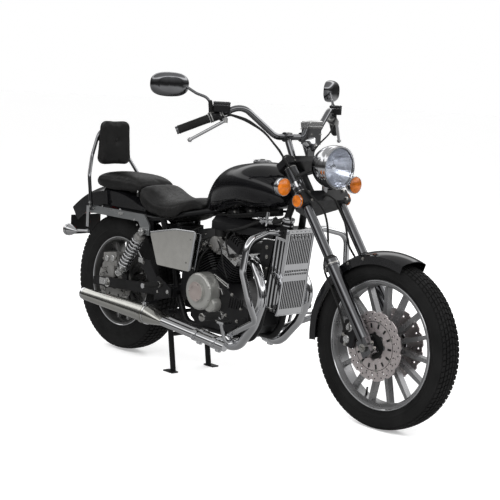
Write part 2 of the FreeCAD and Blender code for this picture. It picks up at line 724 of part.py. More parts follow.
def stanchion_cutter():
    foot = (S.steering_offset, -S.leg_y, S.leg_top)
    head = (S.steering_offset, -S.leg_y, S.upper_clamp_z)
    return on_fork_shape(rod(foot, head, S.stanchion_radius + S.slide_fit))


def leg_cutter():
    foot = (S.steering_offset, -S.leg_y, -S.leg_drop)
    head = (S.steering_offset, -S.leg_y, S.leg_top)
    shaft = rod(foot, head, S.leg_radius + S.fit)
    wide = S.leg_radius * 1.9 + S.fit * 2
    lug = block((wide, wide, S.lug_length + S.fit * 2), (S.steering_offset, -S.leg_y, 0))
    return on_fork_shape(shaft.fuse(lug))


# Handlebar: straight grips, shoulders and a low middle stretch
BAR_END = (BAR_END_X, -S.bar_half_width, S.bar_end_z)
BAR_SHOULDER = (BAR_SHOULDER_X, -S.bar_shoulder_y, S.bar_shoulder_z)


def bar_spot(distance):
    end = spot(BAR_END)
    along = (spot(BAR_SHOULDER) - end).normalize()
    return end + along * float(distance)


def riser():
    top = Vector(float(BAR_CLAMP_X), -float(S.riser_y), float(S.bar_clamp_z))
    foot = on_fork_shape(Part.Vertex(0, 0, float(S.upper_clamp_z))).Point
    foot = Vector(foot.x + float(S.clamp_front), top.y, foot.z + float(S.clamp_front) * 0.4)
    post = rod(tuple(foot), tuple(top), S.riser_radius)
    half = Vector(0, float(S.riser_width) / 2, 0)
    eye = rod(tuple(top - half), tuple(top + half), S.riser_cap)
    shape = joined([post, eye]).cut(clamp_cutter(S.upper_clamp_height, S.upper_clamp_z))
    return max(shape.Solids, key=lambda solid: solid.Volume)


def bar_tube(extra):
    foot = (BAR_CLAMP_X, -S.bar_clamp_y * 1.7, S.bar_clamp_z)
    right = [BAR_END, BAR_SHOULDER, foot]
    return tube(right + [flip(p) for p in reversed(right)], S.bar_radius + extra, S.bar_bend)


def handlebar():
    cap = rod(tuple(bar_spot(0)), tuple(bar_spot(S.bar_end)), S.grip_radius * 0.9)
    post = riser()
    shape = joined([bar_tube(0), cap, other_side(cap), post, other_side(post)])
    return node(feature("handlebar", shape), "handlebar")


def sleeve(start, length, radius, bore):
    outer = rod(tuple(bar_spot(start)), tuple(bar_spot(start + length)), radius)
    inner = rod(tuple(bar_spot(start - S.overrun)), tuple(bar_spot(start + length + S.overrun)), bore)
    return outer.cut(inner)


def grips():
    start = S.bar_end + S.fit
    shape = sleeve(start, S.grip_length, S.grip_radius, S.bar_radius + S.slide_fit)
    return node(feature("grips", pair(shape)), "grips")


PERCH_START = S.bar_end + S.grip_length + S.perch_gap
LEVER_DROP = S.perch_radius * 0.6


def lever_pivot():
    middle = bar_spot(PERCH_START + S.perch_length / 2)
    return middle + Vector(float(S.perch_radius) * 1.5, float(S.perch_radius) * 0.5, -float(LEVER_DROP))


def hand_controls():
    ring = sleeve(PERCH_START, S.perch_length, S.perch_radius, S.bar_radius + S.slide_fit)
    middle = bar_spot(PERCH_START + S.perch_length / 2)
    tank = block((S.reservoir_width, S.reservoir_length, S.reservoir_height), (0, 0, 0))
    along = (spot(BAR_SHOULDER) - spot(BAR_END)).normalize()
    heading = math.degrees(math.atan2(along.y, along.x)) - 90
    rise = float(S.perch_radius + S.reservoir_height * 0.32)
    inward = along * float(S.perch_length) * 0.16
    place_at = middle + inward + Vector(float(S.reservoir_width) * 0.4, 0, rise)
    tank.Placement = FreeCAD.Placement(place_at, FreeCAD.Rotation(Vector(0, 0, 1), heading))
    lug = rod(tuple(middle), tuple(lever_pivot()), S.lever_radius * 1.7)
    shape = joined([ring, tank, lug]).cut(bar_tube(S.slide_fit))
    return node(feature("hand_controls", pair(shape)), "hand_controls")


def levers():
    pivot = lever_pivot()
    middle = bar_spot(PERCH_START + S.perch_length / 2)
    outward = (pivot - middle).normalize()
    start = pivot + outward * float(S.fit)
    reach = start + outward * float(S.lever_radius * 2)
    tip = Vector(float(LEVER_TIP_X), -float(S.lever_tip_y), float(S.lever_tip_z))
    shape = tube([tuple(start), tuple(reach), tuple(tip)], S.lever_radius, S.lever_reach)
    ball = Part.makeSphere(float(S.lever_ball), tip)
    return node(feature("hand_levers", pair(joined([shape, ball]))), "hand_levers")


MIRROR_SHARES = [(-0.5, 1), (-0.05, 0.97), (0.5, 0.62)]


def mirror_shell():
    sections = []
    for reach_share, size_share in MIRROR_SHARES:
        wide = S.mirror_half_width * size_share
        tall = S.mirror_half_height * size_share
        sections.append(section(S.mirror_depth * reach_share, wide, -tall, tall))
    shape = Part.makeLoft(sections, True, False)
    shape.rotate(Vector(0, 0, 0), Vector(0, 0, 1), -float(S.mirror_turn_angle))
    shape.translate(Vector(float(MIRROR_X), -float(S.mirror_y), float(S.mirror_z)))
    return shape


def mirrors():
    shell = mirror_shell()
    middle = bar_spot(PERCH_START + S.perch_length * 0.14)
    foot = middle + Vector(0, 0, float(S.perch_radius) * 0.8)
    reach = S.mirror_half_width * 0.7
    inner = spot((MIRROR_X + reach * sine(S.mirror_turn_angle),
                  reach * cosine(S.mirror_turn_angle) - S.mirror_y, S.mirror_z))
    kink = foot + (inner - foot) * 0.1 + Vector(0, 0, float(S.mirror_half_height))
    bend = inner + (foot - inner) * 0.45 + Vector(0, 0, float(S.mirror_stem) * 3)
    stem = tube([tuple(foot), tuple(kink), tuple(bend), tuple(inner)], S.mirror_stem, S.bar_bend)
    seat = rod(tuple(bar_spot(PERCH_START - S.overrun)),
               tuple(bar_spot(PERCH_START + S.perch_length + S.overrun)), S.perch_radius + S.slide_fit)
    shape = max(joined([shell, stem]).cut(seat).Solids, key=lambda solid: solid.Volume)
    return node(feature("mirrors", pair(shape)), "mirrors")


# Lamps and instruments
def bowl(owner, name, radius, depth, rim_depth, wall):
    inner = radius - wall
    outside = (depth * depth + radius * radius) / (depth * 2)
    crown = radius * 0.1
    points = [(-depth, 0), (-depth, crown), (-rim_depth, radius), (0, radius), (0, inner),
              (-rim_depth, inner), (-depth * 0.72, crown), (-depth * 0.72, 0)]
    arcs = {1: (outside * 1.08, 1), 5: (outside * 0.98, -1)}
    return spin(owner, outline(owner, name, "XZ_Plane", points, arcs), "X_Axis")


def dome(owner, name, radius, thickness, rise):
    points = [(-thickness, 0), (-thickness, radius), (0, radius), (rise, 0)]
    bulge = (radius * radius + rise * rise) / (rise * 2)
    arcs = {2: (bulge, 1)}
    return spin(owner, outline(owner, name, "XZ_Plane", points, arcs), "X_Axis")


def headlamp():
    owner = body("headlamp_shell")
    bowl(owner, "lamp_bowl", S.lamp_radius, S.lamp_depth, S.lamp_rim, S.lamp_wall)
    place(owner, (LAMP_X, 0, S.lamp_z))
    doc.recompute()
    post_x = LAMP_X - S.lamp_depth * 0.6
    post = rod((post_x, 0, S.lamp_z - S.lamp_radius * 1.4), (post_x, 0, S.lamp_z - S.lamp_radius * 0.74),
               S.stem_radius * 0.8)
    post = post.cut(clamp_cutter(S.lower_clamp_height, S.lower_clamp_z))
    shape = joined([owner.Shape, post])
    return node(feature("headlamp", shape), "headlamp")


def headlamp_lens():
    owner = body("headlamp_lens")
    radius = S.lamp_radius - S.lamp_wall - S.fit
    dome(owner, "lamp_glass", radius, S.lens_thickness, S.lens_dome)
    return node(place(owner, (LAMP_X, 0, S.lamp_z)), "headlamp_lens")


def instrument_pod():
    owner = body("pod_shell")
    half_x = S.pod_length / 2
    half_y = S.pod_width / 2
    points = [(-half_x, -half_y), (half_x, -half_y), (half_x, half_y), (-half_x, half_y)]
    block_pad = pad(owner, outline(owner, "pod_plan", "XY_Plane", points), S.pod_height, both=True)
    round_upright_edges(owner, block_pad, S.pod_round, "pod_corners")
    place(owner, (POD_X, 0, S.pod_z))
    doc.recompute()
    foot = S.pod_z - S.pod_height / 2
    plate = block((S.pod_bracket_thickness, S.pod_bracket, S.pod_height), (POD_X, 0, foot - S.pod_height / 2))
    plate = plate.cut(clamp_cutter(S.upper_clamp_height, S.upper_clamp_z))
    kept = max(plate.Solids, key=lambda solid: solid.CenterOfMass.z)
    return node(feature("instrument_pod_shape", joined([owner.Shape, kept])), "instrument_pod")


def signal_cup(name, radius, depth):
    owner = body(name)
    points = [(-depth, 0), (-depth * 0.14, radius), (0, radius), (0, 0)]
    bulge = (depth * depth + radius * radius) / (radius * 2)
    spin(owner, outline(owner, name + "_profile", "XZ_Plane", points, {0: (bulge * 1.3, 1)}), "X_Axis")
    return owner


def front_signals():
    cup = place(signal_cup("signal_cup", S.signal_radius, S.signal_depth), (SIGNAL_X, -S.signal_y, S.signal_z))
    doc.recompute()
    up = (S.signal_z - FRONT_Z) / cosine(S.rake_angle)
    ring_low = (S.steering_offset, -S.leg_y, up - S.signal_ring_height / 2)
    ring_top = (S.steering_offset, -S.leg_y, up + S.signal_ring_height / 2)
    ring = on_fork_shape(rod(ring_low, ring_top, S.stanchion_radius + S.signal_ring))
    centre = on_fork(S.steering_offset, -S.leg_y, up)
    stalk_end = (SIGNAL_X - S.signal_depth * 0.45, -S.signal_y, S.signal_z)
    stalk = rod(centre, stalk_end, S.signal_stalk)
    shape = joined([cup.Shape, ring, stalk]).cut(stanchion_cutter())
    return node(feature("front_signals", pair(shape)), "front_signals")


def front_amber():
    lens = body("front_signal_lens")
    dome(lens, "signal_glass", S.signal_radius * 0.94, S.lens_thickness, S.signal_radius * 0.34)
    place(lens, (SIGNAL_X + S.fit + S.lens_thickness, -S.signal_y, S.signal_z))
    doc.recompute()
    side = S.leg_y + S.clamp_side + S.fit
    inner = (S.steering_offset, -side, S.lower_clamp_z)
    outer = (S.steering_offset, -side - S.reflector_thickness, S.lower_clamp_z)
    reflector = on_fork_shape(rod(inner, outer, S.reflector_radius))
    shapes = [lens.Shape, reflector]
    both = Part.makeCompound(shapes + [other_side(s) for s in shapes])
    return node(feature("front_amber_lenses", both), "front_amber_lenses")


# Hoses and cables that the bar and the fork hold all the way
HOSE_UPPER = [(192.8, -306.8, 1119.8), (198.4, -299.5, 1123.7), (219, -280, 1119), (254, -238, 1106), (305, -190, 1060),
              (350, -160, 1000), (395, -138, 935), (440, -120, 878), (474.6, -100, 837.6)]
HOSE_LOWER = [(510, -62, 793), (525.7, -50, 730), (539.2, -54, 652.8), (547.2, -76, 615), (568.9, -103, 569),
              (653.4, -105, 451), (684, -103, 388), (690, -100, 354), (690, -82.9, 354)]
HOSE_BRANCH = [(471.5, -20, 830.4), (482.4, -20, 838.4), (503, 8, 822)]
CABLE_RIGHT = [(178.8, -290.3, 1109.4), (192.9, -272.1, 1119.2), (230, -225, 1100), (268, -170, 1065),
               (285, -125, 1020), (290.1, -86, 985), (313.9, -80, 940.7)]
CABLE_LEFT = [(192.8, 306.8, 1119.8), (198.4, 299.5, 1123.7), (219, 280, 1119), (254, 238, 1106), (290, 180, 1060),
              (292, 124, 1022), (290.1, 86, 985), (313.9, 80, 940.7)]


def control_cables():
    left_lower = [flip(point) for point in HOSE_LOWER[1:]]
    shapes = [tube(HOSE_UPPER + HOSE_LOWER, S.hose_radius, S.cable_bend),
              tube(HOSE_BRANCH + left_lower, S.hose_radius, S.cable_bend),
              tube(CABLE_RIGHT, S.cable_radius, S.cable_bend), tube(CABLE_LEFT, S.cable_radius, S.cable_bend)]
    return node(feature("control_cables", Part.makeCompound(shapes)), "control_cables")


# Fenders: a crowned channel turned about a centre from a front to a back angle
RIGHT_ANGLE = as_size(90)


def fender(label, radius, half_width, depth, rise, front, back, at):
    owner = body(label)
    skin = S.fender_skin
    shoulder = radius - rise
    edge = radius - depth
    inner_half = half_width - skin
    inner_shoulder = shoulder - skin * 0.5
    inner_rise = radius - skin - inner_shoulder
    crown = (half_width * half_width + rise * rise) / (rise * 2)
    inner_crown = (inner_half * inner_half + inner_rise * inner_rise) / (inner_rise * 2)
    points = [(-half_width, edge), (-half_width, shoulder), (half_width, shoulder), (half_width, edge),
              (inner_half, edge), (inner_half, inner_shoulder), (-inner_half, inner_shoulder),
              (-inner_half, edge)]
    arcs = {1: (crown, 1), 5: (inner_crown, -1)}
    spin(owner, outline(owner, label + "_section", "YZ_Plane", points, arcs), "Y_Axis", back - front)
    return place(owner, at, (0, 1, 0), RIGHT_ANGLE - back)


def front_fender():
    half = S.leg_y - S.leg_collar - S.fit
    item = fender("front_fender", S.front_fender_radius, half, S.front_fender_depth,
                  S.front_fender_depth * 0.35, S.front_fender_start_angle, S.front_fender_end_angle,
                  (FRONT_X, 0, FRONT_Z))
    return node(item, "front_fender")


REAR_FENDER_HALF = S.rail_y - S.rail_radius - S.fit


def rear_fender():
    item = fender("rear_fender", S.rear_fender_radius, REAR_FENDER_HALF, S.rear_fender_depth,
                  S.rear_fender_depth * 0.3, S.rear_fender_start_angle, S.rear_fender_end_angle,
                  (S.rear_fender_x, 0, S.rear_fender_z))
    return node(item, "rear_fender")


def fender_cutter():
    centre = Vector(float(S.rear_fender_x), -float(REAR_FENDER_HALF + S.fit), float(S.rear_fender_z))
    return Part.makeCylinder(float(S.rear_fender_radius + S.fit), float(REAR_FENDER_HALF + S.fit) * 2,
                             centre, Vector(0, 1, 0))


# Caliper: a block with a slot open towards the hub
def caliper_shape(angle, disc_radius, disc_y, at):
    wide = (S.disc_thickness / 2 + S.caliper_gap + S.caliper_wall) * 2
    slot = S.disc_thickness + S.caliper_gap * 2
    low = disc_radius + S.caliper_bridge - S.caliper_height - S.caliper_bridge * 0.5
    high = disc_radius + S.caliper_bridge
    outer = block((high - low, wide, S.caliper_length), ((high + low) / 2, disc_y, 0))
    outer = outer.makeFillet(float(S.caliper_bridge) * 0.5, [e for e in outer.Edges if abs(
        (e.Vertexes[1].Point - e.Vertexes[0].Point).normalize().y) > 0.9])
    gap_reach = S.disc_thickness * 0.6
    gap = block((high - low, slot, S.caliper_length + S.overrun),
                ((high + low) / 2 - S.caliper_bridge + gap_reach, disc_y, 0))
    shape = outer.cut(gap)
    turn = FreeCAD.Rotation(Vector(0, 1, 0), -float(angle))
    shape.Placement = FreeCAD.Placement(spot(at), turn)
    return shape


def front_calipers():
    at = (FRONT_X, 0, FRONT_Z)
    shape = caliper_shape(S.front_caliper_angle, S.front_disc_radius, -S.front_disc_y, at)
    shape = shape.cut(leg_cutter())
    shape = max(shape.Solids, key=lambda solid: solid.Volume)
    return node(feature("front_calipers", pair(shape)), "front_calipers")


def arm_place(share, lift=0):
    x = S.pivot_x + (REAR_X - S.arm_end - S.pivot_x) * share
    slope = (REAR_Z - S.pivot_z) / (REAR_X - S.pivot_x)
    return (x, S.pivot_z + slope * (x - S.pivot_x) + lift)


def rear_caliper():
    disc_y = -(S.rear_hub_length / 2 + S.fit + S.disc_thickness / 2)
    at = (REAR_X, 0, REAR_Z)
    shape = caliper_shape(S.rear_caliper_angle, S.rear_disc_radius, disc_y, at)
    outer_face = disc_y - S.disc_thickness / 2 - S.caliper_gap - S.caliper_wall
    plate_low = REAR_Z + S.arm_height / 2 + S.fit * 2
    plate_high = REAR_Z + S.rear_disc_radius * 0.7
    plate_wide = S.caliper_wall * 0.6
    plate = block((S.caliper_height * 0.7, plate_wide, plate_high - plate_low),
                  (REAR_X, outer_face + plate_wide * 0.3, (plate_low + plate_high) / 2))
    return node(feature("rear_caliper", joined([shape, plate])), "rear_caliper")


# Main frame: tubes with an allowance, so that what seats on them is cut by the same routes
def frame_side(extra):
    tube_radius = S.downtube_radius + extra
    loop = [(DOWNTUBE_TOP_X, -S.cradle_y * 0.4, S.downtube_top_z),
            (DOWNTUBE_MID_X, -S.downtube_mid_y, S.downtube_mid_z),
            (DOWNTUBE_LOW_X, -S.cradle_y, S.downtube_low_z),
            (CRADLE_START_X, -S.cradle_y, S.cradle_z),
            (S.cradle_back_x, -S.cradle_y, S.cradle_z),
            (S.upright_x, -S.cradle_y, S.upright_z),
            (S.upright_mid_x, -S.upright_mid_y, S.upright_mid_z),
            (S.upright_top_x, -S.rail_y * 0.96, S.rail_z + S.rail_radius * 0.4)]
    rail = [(S.rail_start_x, -S.backbone_radius * 0.8, S.backbone_z + S.backbone_radius * 0.4),
            (S.backbone_x - S.backbone_radius * 5, -S.rail_y * 0.82, S.rail_z + S.backbone_radius * 2),
            (S.upright_top_x - S.rail_radius * 3, -S.rail_y, S.rail_z),
            (S.rail_end_x, -S.rail_y, S.rail_z)]
    return [tube(loop, tube_radius, S.frame_bend), tube(rail, S.rail_radius + extra, S.frame_bend * 2)]


def head_tube(extra):
    low = S.lower_clamp_z + S.lower_clamp_height / 2 + S.head_gap
    high = S.upper_clamp_z - S.upper_clamp_height / 2 - S.head_gap
    return on_fork_shape(rod((0, 0, low), (0, 0, high), S.head_radius + extra))


def backbone(extra):
    start = on_fork(0, 0, (S.lower_clamp_z + S.upper_clamp_z) / 2)
    return tube([start, (S.rail_start_x, 0, S.backbone_z + S.backbone_radius * 0.9),
                 (S.backbone_x, 0, S.backbone_z)], S.backbone_radius + extra, S.frame_bend * 3)


def frame_cutter():
    items = []
    for shape in frame_side(S.fit):
        items += [shape, other_side(shape)]
    return joined(items + [head_tube(S.fit), backbone(S.fit)])


def cross_tube(x, z, radius, half):
    return rod((x, -half, z), (x, half, z), radius)


def main_frame():
    items = []
    for shape in frame_side(0):
        items += [shape, other_side(shape)]
    items += [head_tube(0), backbone(0)]
    box_rest_x = (S.box_front_x + S.cover_back_x) / 2
    box_rest_z = S.cover_bottom_z + S.cover_thickness - S.rail_radius
    items.append(cross_tube(box_rest_x, box_rest_z, S.rail_radius, S.rail_y * 0.75))
    items.append(cross_tube(S.pivot_x, S.pivot_z, S.pivot_bolt_radius, S.pivot_bolt_y))
    items.append(cross_tube(S.stand_pivot_x, S.stand_pivot_z, S.stand_pin_radius, S.stand_y + S.stand_boss_radius))
    plate_y = S.cradle_y
    pivot_plate = block((S.downtube_radius * 4, S.stand_plate, S.downtube_radius * 4),
                        ((S.pivot_x + S.upright_x) / 2, -plate_y, S.pivot_z))
    stand_plate = block((S.downtube_radius * 4.6, S.stand_plate, S.downtube_radius * 3.4),
                        ((S.stand_pivot_x + S.cradle_back_x) / 2 - S.stand_plate, -plate_y,
                         S.stand_pivot_z - S.stand_plate))
    shock_drop = S.rail_z - S.shock_top_z + S.shock_eye_radius
    shock_plate = block((S.shock_eye_radius * 2.2, S.stand_plate, shock_drop),
                        (S.shock_top_x, -S.rail_y - S.stand_plate * 0.5, S.rail_z - shock_drop / 2))
    stud = rod((S.shock_top_x, -S.rail_y, S.shock_top_z),
               (S.shock_top_x, -S.shock_y - S.shock_eye_width * 0.7, S.shock_top_z), S.shock_stud_radius)
    for shape in (pivot_plate, stand_plate, shock_plate, stud):
        items += [shape, other_side(shape)]
    lug_y = S.cradle_y + S.stand_plate * 0.5
    lug_low = S.side_stand_z - S.stand_plate * 2
    lug = block((S.stand_radius * 2.4, S.stand_plate, S.cradle_z - lug_low),
                (S.side_stand_x, lug_y, (S.cradle_z + lug_low) / 2))
    items.append(lug)
    items.append(rod(side_stand_spot(-(S.side_stand_y - lug_y) * 1.1), side_stand_spot(S.stand_radius),
                     S.stand_pin_radius * 0.75))
    bore = on_fork_shape(rod((0, 0, S.lower_clamp_z), (0, 0, S.upper_clamp_z), S.stem_radius + S.fit))
    return node(feature("main_frame", joined(items).cut(bore)), "main_frame")


def side_stand_axis():
    return Vector(0, math.cos(math.radians(float(S.side_stand_tilt_angle))),
                  math.sin(math.radians(float(S.side_stand_tilt_angle))))


def side_stand_spot(distance):
    pivot = Vector(float(S.side_stand_x), float(S.side_stand_y), float(S.side_stand_z))
    return tuple(pivot + side_stand_axis() * float(distance))


# Engine
CASE_BOTTOM = S.cradle_z + S.downtube_radius + S.fit


def on_deck(distance, wide, side=1):
    x = S.crank_x + (distance * sine(S.cylinder_angle) + wide * cosine(S.cylinder_angle)) * side
    return (x, S.crank_z + distance * cosine(S.cylinder_angle) - wide * sine(S.cylinder_angle))


def engine_crankcase():
    owner = body("engine_crankcase")
    corner = S.downtube_radius * 3
    apex_z = S.crank_z + S.deck_distance / cosine(S.cylinder_angle)
    points = [(S.case_back_x, CASE_BOTTOM + corner * 0.7), (S.case_back_x + corner, CASE_BOTTOM),
              (S.case_front_x - corner, CASE_BOTTOM), (S.case_front_x, CASE_BOTTOM + corner),
              (S.case_front_x - corner * 0.2, S.crank_z - corner * 0.2),
              (on_deck(S.deck_distance, S.deck_half * 1.9)[0], on_deck(S.deck_distance, S.deck_half)[1] - corner * 0.5),
              on_deck(S.deck_distance, S.deck_half), (S.crank_x, apex_z),
              on_deck(S.deck_distance, S.deck_half, -1),
              (S.case_back_x, S.crank_z + corner)]
    base = pad(owner, outline(owner, "case_side", "XZ_Plane", points), S.case_half_width * 2, both=True)
    low = S.crank_z - corner * 2
    high = S.crank_z + corner * 1.5
    back = [(S.case_back_x + corner, low), (S.case_back_x + corner, high), (S.gearbox_back_x, high - corner * 0.4),
            (S.gearbox_back_x, low + corner * 0.4)]
    pad(owner, outline(owner, "gearbox_side", "XZ_Plane", back), S.gearbox_half_width * 2, both=True)
    return node(owner, "engine_crankcase")


def lean(item, side):
    return place(item, (S.crank_x, 0, S.crank_z), (0, 1, 0), S.cylinder_angle * side)


def eight_corners(half_x, half_y, corner):
    return [(-half_x, -half_y + corner), (-half_x + corner, -half_y), (half_x - corner, -half_y),
            (half_x, -half_y + corner), (half_x, half_y - corner), (half_x - corner, half_y),
            (-half_x + corner, half_y), (-half_x, half_y - corner)]


def barrel(name, side):
    owner = body(name)
    core = eight_corners(S.barrel_half, S.barrel_half * 1.24, S.case_round)
    lift = S.deck_distance + S.fit
    pad(owner, outline(owner, name + "_core", "XY_Plane", core, lift=lift), S.barrel_length - S.fit)
    fin = eight_corners(S.fin_half, S.fin_half_y, S.case_round * 1.5)
    first = pad(owner, outline(owner, name + "_fin", "XY_Plane", fin, lift=lift + S.fin_start), S.fin_thickness)
    row_of(owner, first, "Z_Axis", S.fin_pitch, 8)
    return lean(owner, side)


def engine_cylinders():
    items = [barrel("front_barrel", 1), barrel("rear_barrel", -1), valve_cover("front_valve_cover", 1),
             valve_cover("rear_valve_cover", -1)]
    return node(group("cylinder_barrels", items), "engine_cylinders")


def head(name, side):
    owner = body(name)
    low = S.deck_distance + S.barrel_length + S.fit
    high = low + S.head_block
    corner = S.case_round
    points = [(-S.head_half, low), (S.head_half, low), (S.head_half, high - corner), (S.head_half - corner, high),
              (-S.head_half + corner, high), (-S.head_half, high - corner)]
    pad(owner, outline(owner, name + "_side", "XZ_Plane", points), S.head_half_y * 2, both=True)
    return lean(owner, side)


def valve_cover(name, side):
    owner = body(name)
    low = S.deck_distance + S.barrel_length + S.head_block + S.fit * 2
    high = S.deck_distance + S.barrel_length + S.fit + S.head_height
    foot = S.head_half - S.case_round
    points = [(-foot, low), (foot, low), (S.head_half * 0.62, high), (-S.head_half * 0.62, high)]
    pad(owner, outline(owner, name + "_side", "XZ_Plane", points), S.head_half_y * 1.9, both=True)
    first = -S.head_half * 0.5
    rib = [(first, high - S.head_slot_depth), (first + S.head_slot, high - S.head_slot_depth),
           (first + S.head_slot, high + S.overrun), (first, high + S.overrun)]
    slot = pocket(owner, outline(owner, name + "_slot", "XZ_Plane", rib), S.head_half_y * 2 + S.overrun, both=True)
    row_of(owner, slot, "X_Axis", S.head_slot * 2.4, 4)
    return lean(owner, side)


def cylinder_heads():
    return node(group("head_castings", [head("front_head", 1), head("rear_head", -1)]), "cylinder_heads")


def cover(name, radius, depth, cap_radius, cap_depth, at_z):
    owner = body(name)
    face = S.case_half_width + S.fit
    base = pad(owner, circles(owner, name + "_disc", "XZ_Plane", [(0, 0, radius)], face), depth)
    doc.recompute()
    rims = [i for i, e in enumerate(base.Shape.Edges, 1)
            if abs(e.CenterOfMass.y + float(face + depth)) < 0.01]
    rounded = owner.newObject("PartDesign::Fillet", name + "_round")
    rounded.Base = (base, ["Edge%d" % i for i in rims])
    bind(rounded, "Radius", S.clutch_round)
    pad(owner, circles(owner, name + "_cap", "XZ_Plane", [(0, 0, cap_radius)], face + depth / 2),
        depth / 2 + cap_depth)
    place(owner, (S.crank_x, 0, at_z))
    return owner


def engine_covers():
    right = cover("clutch_cover", S.clutch_radius, S.clutch_depth, S.clutch_cap_radius, S.clutch_cap_depth,
                  S.clutch_z)
    left = cover("generator_cover", S.generator_radius, S.generator_depth, S.clutch_cap_radius,
                 S.clutch_cap_depth, S.crank_z)
    covers = group("engine_cover_pair", [right, mirrored("generator_cover_left", left)])
    return node(covers, "engine_covers")


def carburettor():
    owner = body("carburettor_barrel")
    r = S.carburettor_radius
    half = S.carburettor_half
    points = [(-half, 0), (-half, r * 0.92), (-half * 0.72, r * 0.92), (-half * 0.6, r * 0.7), (half * 0.6, r * 0.7),
              (half * 0.72, r * 0.92), (half, r * 0.92), (half, 0)]
    spin(owner, outline(owner, "carburettor_profile", "YZ_Plane", points), "Y_Axis")
    place(owner, (S.crank_x, 0, S.carburettor_z))
    doc.recompute()
    middle = S.carburettor_z - S.crank_z
    reach = on_deck(middle / cosine(S.cylinder_angle) - S.head_half * 0.2, -S.head_half - S.fit)
    stub = rod((S.crank_x, 0, S.carburettor_z), (reach[0], 0, S.carburettor_z), r * 0.6)
    shape = joined([owner.Shape, stub, stub.mirror(Vector(float(S.crank_x), 0, 0), Vector(1, 0, 0))])
    for side in (1, -1):
        low = S.deck_distance + S.barrel_length
        cutter = block((S.head_half * 2 + S.fit * 2, S.head_half_y * 2, S.head_height + S.overrun),
                       (0, 0, low + (S.head_height + S.overrun) / 2))
        cutter.Placement = FreeCAD.Placement(Vector(float(S.crank_x), 0, float(S.crank_z)), FreeCAD.Rotation(
            Vector(0, 1, 0), float(S.cylinder_angle) * side)).multiply(cutter.Placement)
        shape = shape.cut(cutter)
    shape = max(shape.Solids, key=lambda solid: solid.Volume)
    return node(feature("carburettor_shape", shape), "carburettor")


# Radiator and its slatted cover, leaning with the downtubes
def radiator_turn(item):
    return place(item, (RADIATOR_X, 0, S.radiator_z), (0, 1, 0), S.radiator_angle)


def radiator():
    depth = S.radiator_depth - S.grille_depth
    core = block((depth, S.radiator_half_width * 1.9, S.radiator_height * 0.96),
                 (-S.grille_depth - S.fit - depth / 2, 0, 0))
    neck = Part.makeCylinder(float(S.radiator_cap_radius), float(S.radiator_height / 2 + S.radiator_cap_height),
                             spot((-S.radiator_cap_radius * 1.9, -S.radiator_half_width * 0.6, 0)))
    shape = joined([core, neck])
    turn = FreeCAD.Rotation(Vector(0, 1, 0), float(S.radiator_angle))
    shape.Placement = FreeCAD.Placement(spot((RADIATOR_X, 0, S.radiator_z)), turn)
    bar = tube(crash_route(), S.crash_radius + S.fit, S.crash_bend)
    shape = shape.cut(frame_cutter()).cut(pair(bar))
    shape = max(shape.Solids, key=lambda solid: solid.Volume)
    return node(feature("radiator", shape), "radiator")


def radiator_grille():
    owner = body("radiator_grille")
    w = S.radiator_half_width
    half = S.radiator_height / 2
    points = [(-w, -half), (w, -half), (w, half), (-w, half)]
    pad(owner, outline(owner, "grille_face", "YZ_Plane", points, lift=-S.grille_depth), S.grille_depth)
    pitch = w * 1.76 / S.grille_slats
    first = -w * 0.88 + pitch * 0.5 - S.grille_slot / 2
    for name, low_share, high_share in (("upper", 0.20, 0.90), ("band", -0.06, 0.06), ("lower", -0.84, -0.20)):
        slot = [(first, half * low_share), (first + S.grille_slot, half * low_share),
                (first + S.grille_slot, half * high_share), (first, half * high_share)]
        opening = pocket(owner, outline(owner, "grille_" + name, "YZ_Plane", slot), S.grille_depth * 2)
        row_of(owner, opening, "Y_Axis", pitch, int(S.grille_slats.value))
    return node(radiator_turn(owner), "radiator_grille")


# Fuel tank: sections along the machine as shares of its length, half width and height
TANK_SHARES = [(0, 0.32, -0.19, 0.0), (0.13, 0.61, -0.22, 0.42), (0.29, 0.82, -0.14, 0.80),
               (0.50, 0.97, -0.02, 0.95), (0.71, 1.0, 0.03, 1.0), (0.88, 0.79, 0.07, 0.84),
               (1, 0.40, 0.20, 0.44)]


def tank_shape():
    length = TANK_FRONT_X - S.tank_back_x
    height = S.tank_top_z - S.tank_bottom_z
    wires = [section(S.tank_back_x + length * x, S.tank_half_width * wide, S.tank_bottom_z + height * low,
                     S.tank_bottom_z + height * high, 0.82) for x, wide, low, high in TANK_SHARES]
    return Part.makeLoft(wires, True, False)


def fuel_tank():
    shape = tank_shape().cut(frame_cutter())
    shape = max(shape.Solids, key=lambda solid: solid.Volume)
    return node(feature("fuel_tank", shape), "fuel_tank")


def fuel_cap():
    top = S.tank_top_z + S.fuel_cap_height * 0.5
    plug = rod((S.cap_x, 0, top - S.fuel_cap_height * 2), (S.cap_x, 0, top), S.fuel_cap_radius)
    raised = tank_shape()
    raised.translate(Vector(0, 0, float(S.fit)))
    return node(feature("fuel_cap", plug.cut(raised)), "fuel_cap")


# Seats as closed solids cut by what carries them
RIDER_SHARES = [(0, 0.50, 0.42, 0.72), (0.17, 0.72, 0.28, 0.76), (0.44, 0.95, 0.05, 0.68),
                (0.70, 1.0, 0.08, 0.74), (0.90, 0.96, 0.22, 0.94), (1, 0.86, 0.42, 1.0)]
PILLION_SHARES = [(0, 0.84, 0.10, 0.72), (0.10, 0.93, 0.02, 0.88), (0.64, 1.0, 0.0, 1.0),
                  (0.90, 0.90, 0.06, 0.86), (1, 0.68, 0.24, 0.62)]


def seat_shape(shares, front, back, half_width, low, high):
    length = back - front
    height = high - low
    wires = [section(front + length * x, half_width * wide, low + height * bottom, low + height * top, 0.7)
             for x, wide, bottom, top in shares]
    return Part.makeLoft(wires, True, False)


